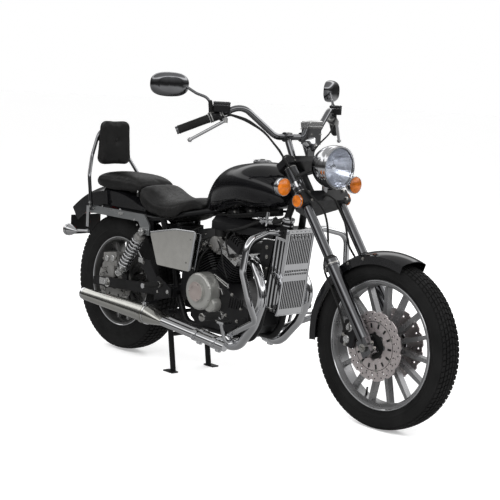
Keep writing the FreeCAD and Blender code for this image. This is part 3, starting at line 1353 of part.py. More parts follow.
def rider_seat():
    shape = seat_shape(RIDER_SHARES, S.seat_front_x, S.seat_back_x, S.seat_half_width, S.seat_low_z, S.seat_top_z)
    tank = tank_shape()
    tank.translate(Vector(-float(S.fit), 0, 0))
    shape = shape.cut(frame_cutter()).cut(fender_cutter()).cut(tank).cut(strut_cutter())
    shape = max(shape.Solids, key=lambda solid: solid.Volume)
    return node(feature("rider_seat", shape), "rider_seat")


def pillion_seat():
    shape = seat_shape(PILLION_SHARES, S.pillion_front_x, S.pillion_back_x, S.pillion_half_width,
                       S.pillion_low_z, S.pillion_top_z)
    shape = shape.cut(fender_cutter()).cut(frame_cutter())
    shape = max(shape.Solids, key=lambda solid: solid.Volume)
    return node(feature("pillion_seat", shape), "pillion_seat")


def backrest_pad():
    owner = body("backrest_pad")
    wide = S.pad_half_width
    narrow = wide * S.pad_top_share
    points = [(-wide, S.pad_bottom_z), (wide, S.pad_bottom_z), (narrow, S.pad_top_z), (-narrow, S.pad_top_z)]
    base = pad(owner, outline(owner, "pad_face", "YZ_Plane", points), S.pad_half_thickness * 2, both=True)
    corners = round_upright_edges(owner, base, S.pad_half_thickness * 1.5, "pad_corners", Vector(1, 0, 0))
    doc.recompute()
    names = []
    for i, edge in enumerate(corners.Shape.Edges, 1):
        if edge.BoundBox.XLength < float(S.fit):
            names.append("Edge%d" % i)
    rounded = owner.newObject("PartDesign::Fillet", "pad_round")
    rounded.Base = (corners, names)
    bind(rounded, "Radius", S.pad_half_thickness * 0.5)
    return node(place(owner, (S.pad_x, 0, 0)), "backrest_pad")


# Struts beside the fender, bent at the shock mounts
def strut_outline(extra):
    half = S.strut_height / 2 + extra
    back_z = S.rail_z - S.rail_radius * 0.2
    return [(S.strut_back_x - extra, back_z - half),
            (S.shock_top_x - S.strut_height * 1.5, back_z - half),
            (S.shock_top_x - S.strut_height * 0.5 - extra, S.shock_top_z - half),
            (S.strut_front_x + extra, S.shock_top_z - half),
            (S.strut_front_x + extra, S.shock_top_z + half * 1.6),
            (S.shock_top_x - S.strut_height * 0.3, back_z + half),
            (S.strut_back_x - extra, back_z + half)]


STRUT_Y = S.rail_y + S.rail_radius + S.strut_boss


def strut_cutter():
    wire = Part.makePolygon([spot((x, -STRUT_Y - S.fit, z)) for x, z in strut_outline(S.fit)]
                            + [spot((strut_outline(S.fit)[0][0], -STRUT_Y - S.fit, strut_outline(S.fit)[0][1]))])
    bar = Part.Face(wire).extrude(Vector(0, float(S.strut_thickness + S.fit * 2), 0))
    bar.translate(Vector(0, -float(S.strut_thickness), 0))
    return Part.makeCompound([bar, other_side(bar)])


def fender_struts():
    owner = body("fender_strut")
    pad(owner, outline(owner, "strut_side", "XZ_Plane", strut_outline(0), lift=STRUT_Y), S.strut_thickness)
    rest = S.rail_y + S.rail_radius + S.fit
    for i, share in enumerate((0.10, 0.62)):
        x = S.strut_back_x + (S.strut_front_x - S.strut_back_x) * share
        boss = circles(owner, "strut_boss_%d" % i, "XZ_Plane", [(x, S.rail_z, S.rail_radius * 0.8)], rest)
        pad(owner, boss, STRUT_Y - rest)
    hole = circles(owner, "strut_hole", "XZ_Plane",
                   [(S.shock_top_x, S.shock_top_z, S.shock_stud_radius + S.slide_fit)], STRUT_Y - S.overrun)
    pocket(owner, hole, S.overrun * 3, back=True)
    return both_sides("fender_struts", owner)


def sissy_bar():
    foot_y = STRUT_Y + S.strut_thickness + S.fit + S.sissy_radius
    right = [(S.sissy_foot_x, -foot_y, S.rail_z - S.sissy_radius), (S.sissy_knee_x, -foot_y, S.sissy_knee_z),
             (S.sissy_back_x, -foot_y * 0.72, S.pad_bottom_z + S.sissy_radius * 5),
             (S.sissy_back_x, -S.sissy_top_y, S.sissy_top_z)]
    route = right + [flip(p) for p in reversed(right)]
    return node(feature("sissy_bar", tube(route, S.sissy_radius, S.frame_bend)), "sissy_bar")


TAIL_X = S.rear_fender_x + S.rear_fender_radius * cosine(S.rear_fender_end_angle) - S.tail_lamp_proud


def tail_lamp():
    back = TAIL_X
    high = S.rail_z
    depth = S.tail_lamp_radius * 1.1
    shape = block((depth, S.tail_lamp_radius * 2.5, S.tail_lamp_radius * 1.3),
                  (back + depth / 2, 0, high - S.tail_lamp_radius * 0.75))
    upright = [e for e in shape.Edges if abs(e.CenterOfMass.x - float(back)) < 0.01]
    shape = shape.makeFillet(float(S.tail_lamp_radius) * 0.25, upright)
    ring = fender_cutter()
    hollow = Part.makeCylinder(float(S.rear_fender_radius - S.fender_skin - S.fit * 2), float(REAR_FENDER_HALF) * 2,
                               Vector(float(S.rear_fender_x), -float(REAR_FENDER_HALF), float(S.rear_fender_z)),
                               Vector(0, 1, 0))
    shape = shape.cut(ring.cut(hollow))
    shape = max(shape.Solids, key=lambda solid: solid.Volume)
    return node(feature("tail_lamp", shape), "tail_lamp")


def plate_holder():
    back = TAIL_X
    lamp_low = S.rail_z - S.tail_lamp_radius * 1.4
    x = back + S.tail_lamp_radius * 0.5
    top = lamp_low - S.fit
    plate = block((S.plate_thickness, S.plate_width, S.plate_height),
                  (x, 0, top - S.plate_height / 2 - S.plate_thickness * 3))
    stem = block((S.plate_thickness * 3, S.tail_lamp_radius, S.plate_thickness * 6),
                 (x, 0, top - S.plate_thickness * 3))
    return node(feature("plate_holder", joined([plate, stem])), "plate_holder")


def rear_signals():
    foot_y = STRUT_Y + S.strut_thickness + S.fit
    arm = S.rear_signal_arm
    arm_x = S.rear_signal_x + arm * 2
    plate = block((arm, S.strut_thickness * 0.8, S.rail_z - S.rear_signal_z + arm),
                  (arm_x, -foot_y - S.strut_thickness * 0.4, (S.rail_z + S.rear_signal_z) / 2))
    stalk = rod((arm_x, -foot_y, S.rear_signal_z), (S.rear_signal_x, -S.rear_signal_y, S.rear_signal_z),
                S.signal_stalk * 0.8)
    cup = signal_cup("rear_signal_cup", S.rear_signal_radius, S.rear_signal_length)
    place(cup, (0, 0, 0))
    doc.recompute()
    shell = cup.Shape.mirror(Vector(0, 0, 0), Vector(1, 0, 0))
    shell.translate(spot((S.rear_signal_x - S.rear_signal_length * 0.5, -S.rear_signal_y, S.rear_signal_z)))
    return node(feature("rear_signals", pair(joined([plate, stalk, shell]))), "rear_signals")


def rear_amber():
    lens = body("rear_signal_lens")
    dome(lens, "rear_signal_glass", S.rear_signal_radius * 0.94, S.lens_thickness, S.rear_signal_radius * 0.4)
    doc.recompute()
    shape = lens.Shape.mirror(Vector(0, 0, 0), Vector(1, 0, 0))
    shape.translate(spot((S.rear_signal_x - S.rear_signal_length * 0.5 - S.fit - S.lens_thickness,
                          -S.rear_signal_y, S.rear_signal_z)))
    return node(feature("rear_amber_lenses", pair(shape)), "rear_amber_lenses")


# Exhaust: the header from the front head and a second pipe beside it
PIPE_END = (S.pipe_end_x, -S.pipe_end_y, S.pipe_end_z)
HEADER_LOW = (S.header_low_x, -S.header_low_y, S.header_low_z)
PIPE_CLAMP_SHARES = (0.22, 0.50)


def exhaust_pipes():
    middle = S.deck_distance + S.barrel_length + S.head_height * 0.42
    port = on_deck(middle, S.head_half + S.fit)
    out = on_deck(middle, S.head_half + S.pipe_radius * 1.8)
    half = S.head_half_y / 2
    route = [(port[0], -half, port[1]), (out[0], -half, out[1]),
             (S.header_port_x, -S.header_port_y, S.header_port_z),
             (HEADER_UP_X, -S.header_up_y, S.header_up_z),
             (HEADER_RISE_X, -S.header_rise_y, S.header_rise_z), HEADER_LOW, PIPE_END]
    header = tube(route, S.pipe_radius, S.header_bend)
    end = spot(PIPE_END)
    low = spot(HEADER_LOW)
    along = (end - low).normalize()
    aside = Vector(0, -float(S.pipe_spacing), 0)
    start = low + along * float(S.pipe_radius * 1.4) + aside
    second = rod(tuple(start), tuple(end + aside), S.pipe_radius)
    tail = rod(tuple(end), tuple(end + along * float(S.pipe_radius * 0.5)), S.pipe_radius)
    second_tail = rod(tuple(end + aside), tuple(end + aside + along * float(S.pipe_radius * 0.5)),
                      S.pipe_radius)
    items = [header, second, tail, second_tail]
    for share in PIPE_CLAMP_SHARES:
        centre = low + along * ((end - low).Length * share) + aside * 0.5
        half_band = along * (float(S.pipe_clamp_width) / 2)
        for offset in (aside * 0.5, aside * -0.5):
            items.append(rod(tuple(centre - half_band + offset), tuple(centre + half_band + offset),
                             S.pipe_radius + S.pipe_clamp))
    beyond = block((S.pipe_radius * 2, S.pipe_spacing * 3, S.pipe_radius * 4),
                   (S.pipe_end_x - S.pipe_radius, -S.pipe_end_y - S.pipe_spacing / 2, S.pipe_end_z))
    return node(feature("exhaust_pipes", pair(joined(items).cut(beyond))), "exhaust_pipes")


def ellipse_section(x, y, z, half_y, half_z):
    wire = section(x, half_y, -as_size(half_z), half_z, 1.0, 12)
    wire.translate(spot((0, y, z)))
    return wire


SILENCER_Y = S.pipe_end_y + S.pipe_spacing / 2


def silencers():
    y = -SILENCER_Y
    cone_x = S.silencer_front_x - S.silencer_radius * 2.9
    front = [ellipse_section(S.silencer_front_x, y, S.pipe_end_z, S.silencer_inlet_radius, S.pipe_radius + S.fit),
             ellipse_section((S.silencer_front_x + cone_x) / 2, y, (S.pipe_end_z + S.silencer_front_z) / 2,
                             S.silencer_radius * 0.98, S.silencer_radius * 0.75),
             ellipse_section(cone_x, y, S.silencer_front_z, S.silencer_radius, S.silencer_radius)]
    back = [front[-1], ellipse_section(S.silencer_back_x, y, S.silencer_back_z, S.silencer_end_radius,
                                       S.silencer_end_radius)]
    shape = Part.makeLoft(front, True, False).fuse(Part.makeLoft(back, True, True))
    band_x = cone_x - S.silencer_radius * 0.5
    band = rod((band_x, y, S.silencer_front_z), (band_x - S.pipe_clamp_width, y, S.silencer_front_z),
               S.silencer_radius * 1.05)
    mouth = rod((S.silencer_back_x - S.overrun, y, S.silencer_back_z),
                (S.silencer_back_x + S.silencer_bore_depth, y, S.silencer_back_z), S.silencer_bore)
    shape = shape.fuse(band).cut(mouth)
    return node(feature("silencers", pair(shape)), "silencers")


# Hanger plates outside the swingarm bosses carry the pillion pegs and the silencers
def hangers():
    inner = S.pivot_bolt_y + S.fit
    y = -inner - S.hanger_thickness / 2
    cone_x = S.silencer_front_x - S.silencer_radius * 2.9
    band_x = cone_x - S.silencer_radius * 0.5 - S.pipe_clamp_width / 2
    band_top = S.silencer_front_z + S.silencer_radius * 1.05 + S.fit
    points = [(S.pivot_x + S.pivot_bolt_radius * 2.4, S.pivot_z - S.pivot_bolt_radius * 2),
              (S.pivot_x + S.pivot_bolt_radius * 2.4, S.pivot_z + S.pivot_bolt_radius * 2),
              (S.pillion_peg_x - S.pillion_peg_radius * 2, S.pillion_peg_z + S.pillion_peg_radius * 3),
              (S.pillion_peg_x - S.pillion_peg_radius * 3, S.pillion_peg_z + S.pillion_peg_radius * 2),
              (band_x - S.pillion_peg_radius, S.pillion_peg_z - S.pillion_peg_radius * 3),
              (band_x - S.pillion_peg_radius, band_top + S.pillion_peg_radius),
              (band_x + S.pillion_peg_radius * 0.6, band_top + S.pillion_peg_radius)]
    owner = body("hanger_plate")
    pad(owner, outline(owner, "hanger_side", "XZ_Plane", points, lift=inner), S.hanger_thickness)
    doc.recompute()
    foot_wide = SILENCER_Y - inner
    foot = block((S.pillion_peg_radius * 1.6, foot_wide, S.hanger_thickness * 2.4),
                 (band_x - S.pillion_peg_radius * 0.2, -inner - foot_wide / 2, band_top + S.hanger_thickness))
    ring = rod((band_x - S.overrun * 2, -SILENCER_Y, S.silencer_front_z),
               (band_x + S.overrun * 2, -SILENCER_Y, S.silencer_front_z), S.silencer_radius * 1.05 + S.fit)
    shape = joined([owner.Shape, foot]).cut(ring)
    return node(feature("hanger_plates", pair(shape)), "hanger_plates")


def crash_route():
    return [(DOWNTUBE_MID_X + S.downtube_radius, -S.downtube_mid_y, S.downtube_mid_z + S.crash_radius),
            (HEADER_UP_X + S.crash_radius * 2, -S.crash_reach * 0.55, S.crash_top_z + S.crash_radius * 2.2),
            (HEADER_UP_X + S.crash_radius * 3.6, -S.crash_reach * 0.96, S.crash_top_z),
            (HEADER_UP_X + S.crash_radius * 3, -S.crash_reach, (S.crash_top_z + S.header_up_z) / 2),
            (HEADER_UP_X + S.crash_radius * 4.6, -S.crash_reach * 0.92, S.header_up_z),
            (HEADER_UP_X + S.crash_radius * 1.5, -S.crash_reach * 0.66, S.header_rise_z + S.crash_radius * 3),
            (S.header_low_x - S.crash_radius * 3, -S.header_low_y * 1.2, S.cradle_z + S.crash_radius * 0.94),
            (S.header_low_x - S.crash_radius * 3.6, -S.cradle_y, S.cradle_z - S.crash_radius * 0.56)]


def crash_bars():
    shape = tube(crash_route(), S.crash_radius, S.crash_bend).cut(frame_cutter())
    shape = max(shape.Solids, key=lambda solid: solid.Volume)
    return node(feature("crash_bars", pair(shape)), "crash_bars")


# Foot controls
def peg_arm(extra):
    return tube([(S.peg_x, -S.cradle_y, S.cradle_z + S.peg_arm_radius * 0.32),
                 (S.peg_x, -S.header_low_y * 1.035, S.cradle_z + S.peg_arm_radius * 0.32),
                 (S.peg_x, -S.header_low_y * 1.474, S.cradle_z - S.peg_arm_radius * 1.4),
                 (S.peg_x, -S.peg_inner_y, S.peg_z)], S.peg_arm_radius * 0.8 + extra, S.frame_bend)


def rider_peg():
    rubber = rod((S.peg_x, -S.peg_inner_y, S.peg_z), (S.peg_x, -S.peg_outer_y, S.peg_z), S.peg_radius)
    arm = peg_arm(0).cut(frame_cutter())
    arm = max(arm.Solids, key=lambda solid: solid.CenterOfMass.z)
    return joined([rubber, arm])


def pillion_peg():
    start = S.pivot_bolt_y + S.fit * 2 + S.hanger_thickness
    return rod((S.pillion_peg_x, -start, S.pillion_peg_z),
               (S.pillion_peg_x, -S.pillion_peg_outer_y, S.pillion_peg_z), S.pillion_peg_radius)


def pedal():
    carrier = rod((S.peg_x, -S.peg_inner_y, S.peg_z), (S.peg_x, -S.peg_outer_y, S.peg_z), S.peg_radius + S.fit)
    carrier = carrier.fuse(peg_arm(S.fit))
    y = -(S.peg_inner_y + S.peg_radius)
    shape = tube([(S.peg_x, y, S.peg_z), (S.peg_x + S.peg_radius * 2.6, y, S.peg_z - S.peg_radius * 1.4),
                  (S.pedal_x - S.pedal_pad, -S.pedal_y, S.pedal_z - S.pedal_radius * 2),
                  (S.pedal_x, -S.pedal_y, S.pedal_z)], S.pedal_radius, S.frame_bend)
    foot = block((S.pedal_pad * 1.6, S.pedal_pad * 1.8, S.pedal_radius * 1.4), (S.pedal_x, -S.pedal_y, S.pedal_z))
    shape = joined([shape, foot]).cut(carrier)
    return max(shape.Solids, key=lambda solid: solid.Volume)


def foot_controls():
    shapes = [rider_peg(), pillion_peg(), pedal()]
    both = Part.makeCompound(shapes + [other_side(s) for s in shapes])
    return node(feature("foot_controls", both), "foot_controls")


# Swingarm, shocks and drive
def swingarm():
    front_z = S.pivot_z
    back_x, back_z = arm_place(1)
    half = S.arm_height / 2
    points = [(S.pivot_x + half, front_z - half), (S.pivot_x + half, front_z + half),
              (S.shock_low_x, arm_place(0.6)[1] + half * 1.05), (back_x, back_z + half * 0.8),
              (back_x, back_z - half * 0.8), (REAR_X, REAR_Z - half)]
    owner = body("swingarm_arm")
    inner = S.arm_y - S.arm_width / 2
    pad(owner, outline(owner, "arm_side", "XZ_Plane", points, lift=inner), S.arm_width)
    holes = circles(owner, "arm_holes", "XZ_Plane",
                    [(S.pivot_x, S.pivot_z, S.pivot_bolt_radius + S.slide_fit),
                     (REAR_X, REAR_Z, S.axle_radius + S.slide_fit)], inner - S.overrun)
    pocket(owner, holes, S.arm_width + S.overrun * 2, back=True)
    doc.recompute()
    brace = rod((S.brace_x, -inner - S.arm_width / 2, front_z), (S.brace_x, inner + S.arm_width / 2, front_z),
                S.brace_radius)
    ear_top = S.shock_low_z
    ear = block((S.shock_eye_radius * 2, S.arm_width * 0.5, ear_top - back_z),
                (S.shock_low_x, -inner - S.arm_width * 0.5, (ear_top + back_z) / 2))
    round_ear = rod((S.shock_low_x, -inner - S.arm_width * 0.25, ear_top),
                    (S.shock_low_x, -inner - S.arm_width * 0.75, ear_top), S.shock_eye_radius)
    stud = rod((S.shock_low_x, -inner - S.arm_width * 0.5, ear_top),
               (S.shock_low_x, -S.shock_y - S.shock_eye_width * 0.7, ear_top), S.shock_stud_radius)
    items = [owner.Shape, other_side(owner.Shape), brace]
    for shape in (ear, round_ear, stud):
        items += [shape, other_side(shape)]
    return node(feature("swingarm", joined(items)), "swingarm")


def shock_line():
    top = spot((S.shock_top_x, -S.shock_y, S.shock_top_z))
    low = spot((S.shock_low_x, -S.shock_y, S.shock_low_z))
    return low, top, (top - low).normalize()


def shock_absorbers():
    low, top, along = shock_line()
    length = (top - low).Length
    eyes = []
    for centre in (low, top):
        half = Vector(0, float(S.shock_eye_width) / 2, 0)
        eyes.append(rod(tuple(centre - half), tuple(centre + half), S.shock_eye_radius))
    start = low + along * float(S.spring_start)
    end = top - along * float(S.spring_end)
    tube_shape = rod(tuple(low), tuple(start), S.shock_body_radius)
    damper = rod(tuple(low), tuple(low + along * (length * 0.6)), S.shock_body_radius * 0.8)
    shaft = rod(tuple(low), tuple(top), S.shock_rod_radius)
    seat_half = along * float(S.spring_wire)
    lower_seat = rod(tuple(start - seat_half), tuple(start), S.spring_radius)
    upper_seat = rod(tuple(end), tuple(end + along * float(S.shock_seat)), S.spring_radius)
    neck = rod(tuple(end), tuple(top), S.shock_neck_radius)
    shape = joined(eyes + [tube_shape, damper, shaft, lower_seat, upper_seat, neck])
    for centre in (low, top):
        reach = Vector(0, float(S.shock_eye_width), 0)
        shape = shape.cut(rod(tuple(centre - reach), tuple(centre + reach), S.shock_stud_radius + S.slide_fit))
    return node(feature("shock_absorbers", pair(shape)), "shock_absorbers")


def shock_springs():
    low, top, along = shock_line()
    start = low + along * float(S.spring_start + S.spring_wire + S.fit)
    end = top - along * float(S.spring_end + S.spring_wire + S.fit)
    height = (end - start).Length
    mean = float(S.spring_radius - S.spring_wire)
    helix = Part.makeHelix(height / float(S.spring_turns), height, mean)
    ring = Part.Wire([Part.makeCircle(float(S.spring_wire), Vector(mean, 0, 0), Vector(0, 1, 0))])
    coil = Part.Wire(helix).makePipeShell([ring], True, True)
    coil.Placement = FreeCAD.Placement(start, FreeCAD.Rotation(Vector(0, 0, 1), along))
    return node(feature("shock_springs", pair(coil)), "shock_springs")


def sprocket(owner, name, radius, teeth, lift):
    disc_sketch = circles(owner, name + "_disc", "XZ_Plane", [(0, 0, radius + S.tooth_depth)], lift)
    pad(owner, disc_sketch, S.sprocket_thickness)
    gap = circles(owner, name + "_gap", "XZ_Plane", [(0, radius + S.tooth_depth, S.tooth_depth)],
                  lift - S.overrun / 2)
    ring_of(owner, pocket(owner, gap, S.sprocket_thickness + S.overrun, back=True), "Y_Axis", teeth)


def tooth_count(radius):
    return int(round(2 * math.pi * radius.value / S.chain_pitch.value))


def sprockets():
    front = body("front_sprocket")
    lift = -S.chain_y - S.sprocket_thickness / 2
    sprocket(front, "front_sprocket_plate", S.sprocket_radius - S.chain_half_height - S.tooth_depth - S.fit,
             tooth_count(S.sprocket_radius), lift)
    shaft_start = -S.chain_y + S.sprocket_thickness / 2
    pad(front, circles(front, "output_shaft", "XZ_Plane", [(0, 0, S.stem_radius)], shaft_start),
        S.chain_y - S.sprocket_thickness / 2 - S.gearbox_half_width - S.fit)
    place(front, (S.sprocket_x, 0, S.sprocket_z))
    node(front, "front_sprocket")
    rear = body("rear_sprocket")
    sprocket(rear, "rear_sprocket_plate", S.rear_sprocket_radius - S.chain_half_height - S.tooth_depth - S.fit,
             tooth_count(S.rear_sprocket_radius), lift)
    boss = S.chain_y - S.sprocket_thickness / 2 - S.rear_hub_length / 2 - S.fit
    pad(rear, circles(rear, "sprocket_boss", "XZ_Plane", [(0, 0, S.rear_hub_radius * 0.78)],
                      -S.chain_y + S.sprocket_thickness / 2), boss)
    bore = circles(rear, "sprocket_bore", "XZ_Plane", [(0, 0, S.axle_head_radius + S.slide_fit)],
                   -S.chain_y - S.overrun)
    pocket(rear, bore, S.overrun * 2, back=True)
    place(rear, (REAR_X, 0, REAR_Z))
    return node(rear, "rear_sprocket")


def drive_chain():
    start = Vector(float(S.sprocket_x), 0, float(S.sprocket_z))
    end = Vector(float(REAR_X), 0, float(REAR_Z))
    loops = []
    for extra in (S.chain_half_height, -S.chain_half_height):
        small = float(S.sprocket_radius + extra)
        large = float(S.rear_sprocket_radius + extra)
        span = end - start
        length = math.hypot(span.x, span.z)
        swing = math.asin((large - small) / length)
        heading = math.atan2(span.z, span.x)
        spots = []
        for side in (1, -1):
            angle = heading + side * (math.pi / 2 + swing)
            out = Vector(math.cos(angle), 0, math.sin(angle))
            spots.append((start + out * small, end + out * large))
        far_front = start - Vector(math.cos(heading), 0, math.sin(heading)) * small
        far_back = end + Vector(math.cos(heading), 0, math.sin(heading)) * large
        (upper_front, upper_back), (lower_front, lower_back) = spots
        loops.append(Part.Wire([
            Part.makeLine(upper_front, upper_back),
            Part.Arc(upper_back, far_back, lower_back).toShape(),
            Part.makeLine(lower_back, lower_front),
            Part.Arc(lower_front, far_front, upper_front).toShape()]))
    outer, inner = [Part.Face(loop).extrude(Vector(0, float(S.chain_half_width) * 2, 0)) for loop in loops]
    shape = outer.cut(inner)
    shape.translate(Vector(0, float(S.chain_y - S.chain_half_width), 0))
    return node(feature("drive_chain", shape), "drive_chain")


# Stands
def centre_stand():
    pivot = (S.stand_pivot_x, -S.stand_y, S.stand_pivot_z)
    foot = (S.stand_foot_x, -S.stand_y, S.stand_foot_thickness / 2)
    leg = rod(pivot, foot, S.stand_radius)
    boss_end = S.stand_y + S.stand_boss_radius
    boss = rod((pivot[0], -S.stand_y + S.stand_boss_radius, pivot[2]), (pivot[0], -boss_end, pivot[2]),
               S.stand_boss_radius)
    outward = S.stand_foot_y - S.stand_y + S.stand_radius * 0.2
    sole = block((S.stand_foot_length, outward, S.stand_foot_thickness),
                 (S.stand_foot_x, -(S.stand_y - S.stand_radius * 0.2) - outward / 2, S.stand_foot_thickness / 2))
    drop_share = S.stand_brace_drop / S.stand_pivot_z
    brace_x = S.stand_pivot_x + (S.stand_foot_x - S.stand_pivot_x) * drop_share
    brace = rod((brace_x, -S.stand_y, S.stand_pivot_z - S.stand_brace_drop),
                (brace_x, S.stand_y, S.stand_pivot_z - S.stand_brace_drop), S.stand_radius * 0.8)
    under = block((S.stand_foot_length * 2, S.stand_foot_length * 4, S.stand_foot_length),
                  (S.stand_foot_x, -S.stand_y, -S.stand_foot_length / 2))
    side = joined([leg, boss, sole]).cut(under)
    pin = rod((pivot[0], -boss_end - S.overrun, pivot[2]), (pivot[0], 0, pivot[2]), S.stand_pin_radius + S.fit)
    side = side.cut(pin)
    return node(feature("centre_stand", joined([side, other_side(side), brace])), "centre_stand")


def side_stand():
    low = Vector(*side_stand_spot(-S.stand_radius * 0.7))
    high = Vector(*side_stand_spot(S.stand_radius * 0.7))
    boss = rod(tuple(low), tuple(high), S.side_stand_boss)
    pivot = Vector(*side_stand_spot(0))
    end = pivot - Vector(float(S.side_stand_length), 0, 0)
    leg = rod(tuple(pivot), tuple(end), S.side_stand_radius)
    foot = block((S.side_stand_foot * 0.4, S.side_stand_foot * 1.5, S.side_stand_foot * 1.5), tuple(end))
    pin = rod(side_stand_spot(-S.overrun * 2), side_stand_spot(S.overrun * 2), S.stand_pin_radius * 0.75 + S.fit)
    return node(feature("side_stand", joined([boss, leg, foot]).cut(pin)), "side_stand")


# Side covers on the box behind the rear cylinder
def air_box():
    low = S.air_box_low_z
    high = low + S.air_box_height
    front = AIR_BOX_FRONT_X
    round_part = S.case_round
    sides = [(-S.air_box_half, low), (S.air_box_half, low), (S.air_box_half, high - round_part * 2),
             (S.air_box_half - round_part * 2, high), (-S.air_box_half + round_part * 2, high),
             (-S.air_box_half, high - round_part * 2)]
    corners = [spot((S.air_box_back_x, y, z)) for y, z in sides]
    shape = Part.Face(Part.makePolygon(corners + corners[:1])).extrude(spot((front - S.air_box_back_x, 0, 0)))
    neck_foot = S.carburettor_z + S.carburettor_radius * 0.7 + S.fit
    neck = rod((S.crank_x, 0, neck_foot), (S.crank_x, 0, low + round_part), S.carburettor_radius * 0.9)
    return joined([shape, neck]).cut(frame_cutter())


def side_panel():
    lean_share = (S.downtube_low_back - S.downtube_mid_back) / (S.downtube_mid_z - S.downtube_low_z)
    tube_back_x = DOWNTUBE_LOW_X - S.downtube_radius
    tube_low_x = tube_back_x + (S.panel_low_z - S.downtube_low_z) * lean_share
    tube_high_x = tube_back_x + (S.panel_high_z - S.downtube_low_z) * lean_share
    back_x = tube_high_x - S.panel_length
    points = [(tube_low_x, S.panel_low_z), (tube_high_x, S.panel_high_z), (back_x, S.panel_high_z),
              (back_x - S.case_round, (S.panel_low_z + S.panel_high_z) / 2), (back_x + S.case_round * 2, S.panel_low_z)]
    corners = [spot((x, -S.panel_inner_y, z)) for x, z in points]
    shape = Part.Face(Part.makePolygon(corners + corners[:1])).extrude(spot((0, -S.panel_thickness, 0)))
    shape = shape.cut(frame_cutter())
    return max(shape.Solids, key=lambda solid: solid.Volume)


def battery_box():
    depth = S.box_front_x - S.cover_back_x
    low = S.cover_bottom_z + S.cover_thickness + S.fit
    shape = block((depth, S.gearbox_half_width * 2.4, S.cover_top_z - low),
                  (S.box_front_x - depth / 2, 0, (S.cover_top_z + low) / 2))
    panel = side_panel()
    boxes = Part.makeCompound([shape.cut(frame_cutter()), air_box(), panel, other_side(panel)])
    return node(feature("battery_box", boxes), "battery_box")


def side_covers():
    owner = body("side_cover")
    low = S.cover_bottom_z
    high = S.cover_top_z
    back = S.cover_back_x
    front = S.cover_front_x
    length = front - back
    height = high - low
    points = [(back, high - height * 0.2), (back + length * 0.55, high), (front, high + height * 0.03),
              (front - length * 0.12, low), (back + length * 0.18, low)]
    plate = pad(owner, outline(owner, "cover_side", "XZ_Plane", points, lift=S.cover_y), S.cover_thickness)
    round_upright_edges(owner, plate, S.case_round, "cover_corners", Vector(0, 1, 0))
    rest = S.gearbox_half_width * 1.2 + S.fit
    for i, z_share in enumerate((0.12, 0.84)):
        stand_off = circles(owner, "cover_post_%d" % i, "XZ_Plane",
                            [(S.box_front_x - S.case_round, low + height * z_share, S.case_round * 0.6)], rest)
        pad(owner, stand_off, S.cover_y - rest)
    return both_sides("side_covers", owner)


def build():
    tyre("front_tyre", S.front_tyre_radius, S.front_tyre_width, S.front_flange_radius, S.front_rim_width,
         (FRONT_X, 0, FRONT_Z))
    rim("front_rim", S.front_flange_radius, S.front_rim_width, S.front_hub_radius, S.front_hub_length,
        S.front_spokes, S.front_spoke_width, S.front_spoke_depth, (FRONT_X, 0, FRONT_Z))
    tyre("rear_tyre", S.rear_tyre_radius, S.rear_tyre_width, S.rear_flange_radius, S.rear_rim_width,
         (REAR_X, 0, REAR_Z))
    rim("rear_rim", S.rear_flange_radius, S.rear_rim_width, S.rear_hub_radius, S.rear_hub_length,
        S.rear_spokes, S.rear_spoke_width, S.rear_spoke_depth, (REAR_X, 0, REAR_Z))
    for make in (front_discs, rear_disc, front_axle, rear_axle, fork_legs, fork_stanchions, triple_clamps,
                 handlebar, grips, hand_controls, levers, mirrors, headlamp,
                 headlamp_lens, instrument_pod, front_signals, front_amber, front_fender, rear_fender,
                 front_calipers, rear_caliper, main_frame, engine_crankcase, engine_cylinders,
                 cylinder_heads, engine_covers, carburettor, radiator, radiator_grille, fuel_tank,
                 fuel_cap, rider_seat, pillion_seat, backrest_pad, fender_struts, sissy_bar, tail_lamp,
                 plate_holder, rear_signals, rear_amber, exhaust_pipes, silencers, hangers, crash_bars,
                 foot_controls, swingarm, shock_absorbers, shock_springs, sprockets, drive_chain,
                 centre_stand, side_stand, battery_box, side_covers, control_cables):
        make()


build()
doc.recompute()
for item in doc.Objects:
    faults = [state for state in item.State if state in ("Invalid", "Error")]
    if faults:
        raise RuntimeError("%s: %s" % (item.Label, item.State))
for item in NODES:
    if item.Shape.isNull() or not item.Shape.isValid():
        raise RuntimeError("%s has no valid shape" % item.Label)
for item in NODES:
    item.Shape.exportStep("parts/%s.step" % item.Label)
print(len(NODES), "nodes")
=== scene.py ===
import math
import bmesh
import bpy
from mathutils import Matrix, Vector


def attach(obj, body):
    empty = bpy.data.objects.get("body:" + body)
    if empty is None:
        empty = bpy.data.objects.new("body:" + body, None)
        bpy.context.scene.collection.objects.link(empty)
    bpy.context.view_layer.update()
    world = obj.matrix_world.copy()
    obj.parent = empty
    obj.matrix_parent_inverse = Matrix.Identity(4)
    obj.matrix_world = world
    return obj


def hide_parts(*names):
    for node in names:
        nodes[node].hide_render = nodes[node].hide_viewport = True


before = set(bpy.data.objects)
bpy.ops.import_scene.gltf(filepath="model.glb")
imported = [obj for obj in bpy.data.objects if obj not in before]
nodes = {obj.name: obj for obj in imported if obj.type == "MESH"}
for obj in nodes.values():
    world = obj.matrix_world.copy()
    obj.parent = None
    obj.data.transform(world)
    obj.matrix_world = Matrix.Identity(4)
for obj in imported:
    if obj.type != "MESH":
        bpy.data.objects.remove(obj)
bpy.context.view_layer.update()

scene = bpy.context.scene
print("frame loaded:", len(nodes), "nodes")

# Forward is +X, the rider's left is +Y. Lengths in the code are millimetres, and settle() turns them into metres.

# Finishes

grain = {"rampLow": 0.3, "rampHigh": 0.72, "patchScale": 2.7, "swellScale": 30, "creaseWidth": 0.16,
         "creaseDepth": 2.5, "creaseStrength": 0.5, "coatRough": 0.02, "roundSamples": 4}


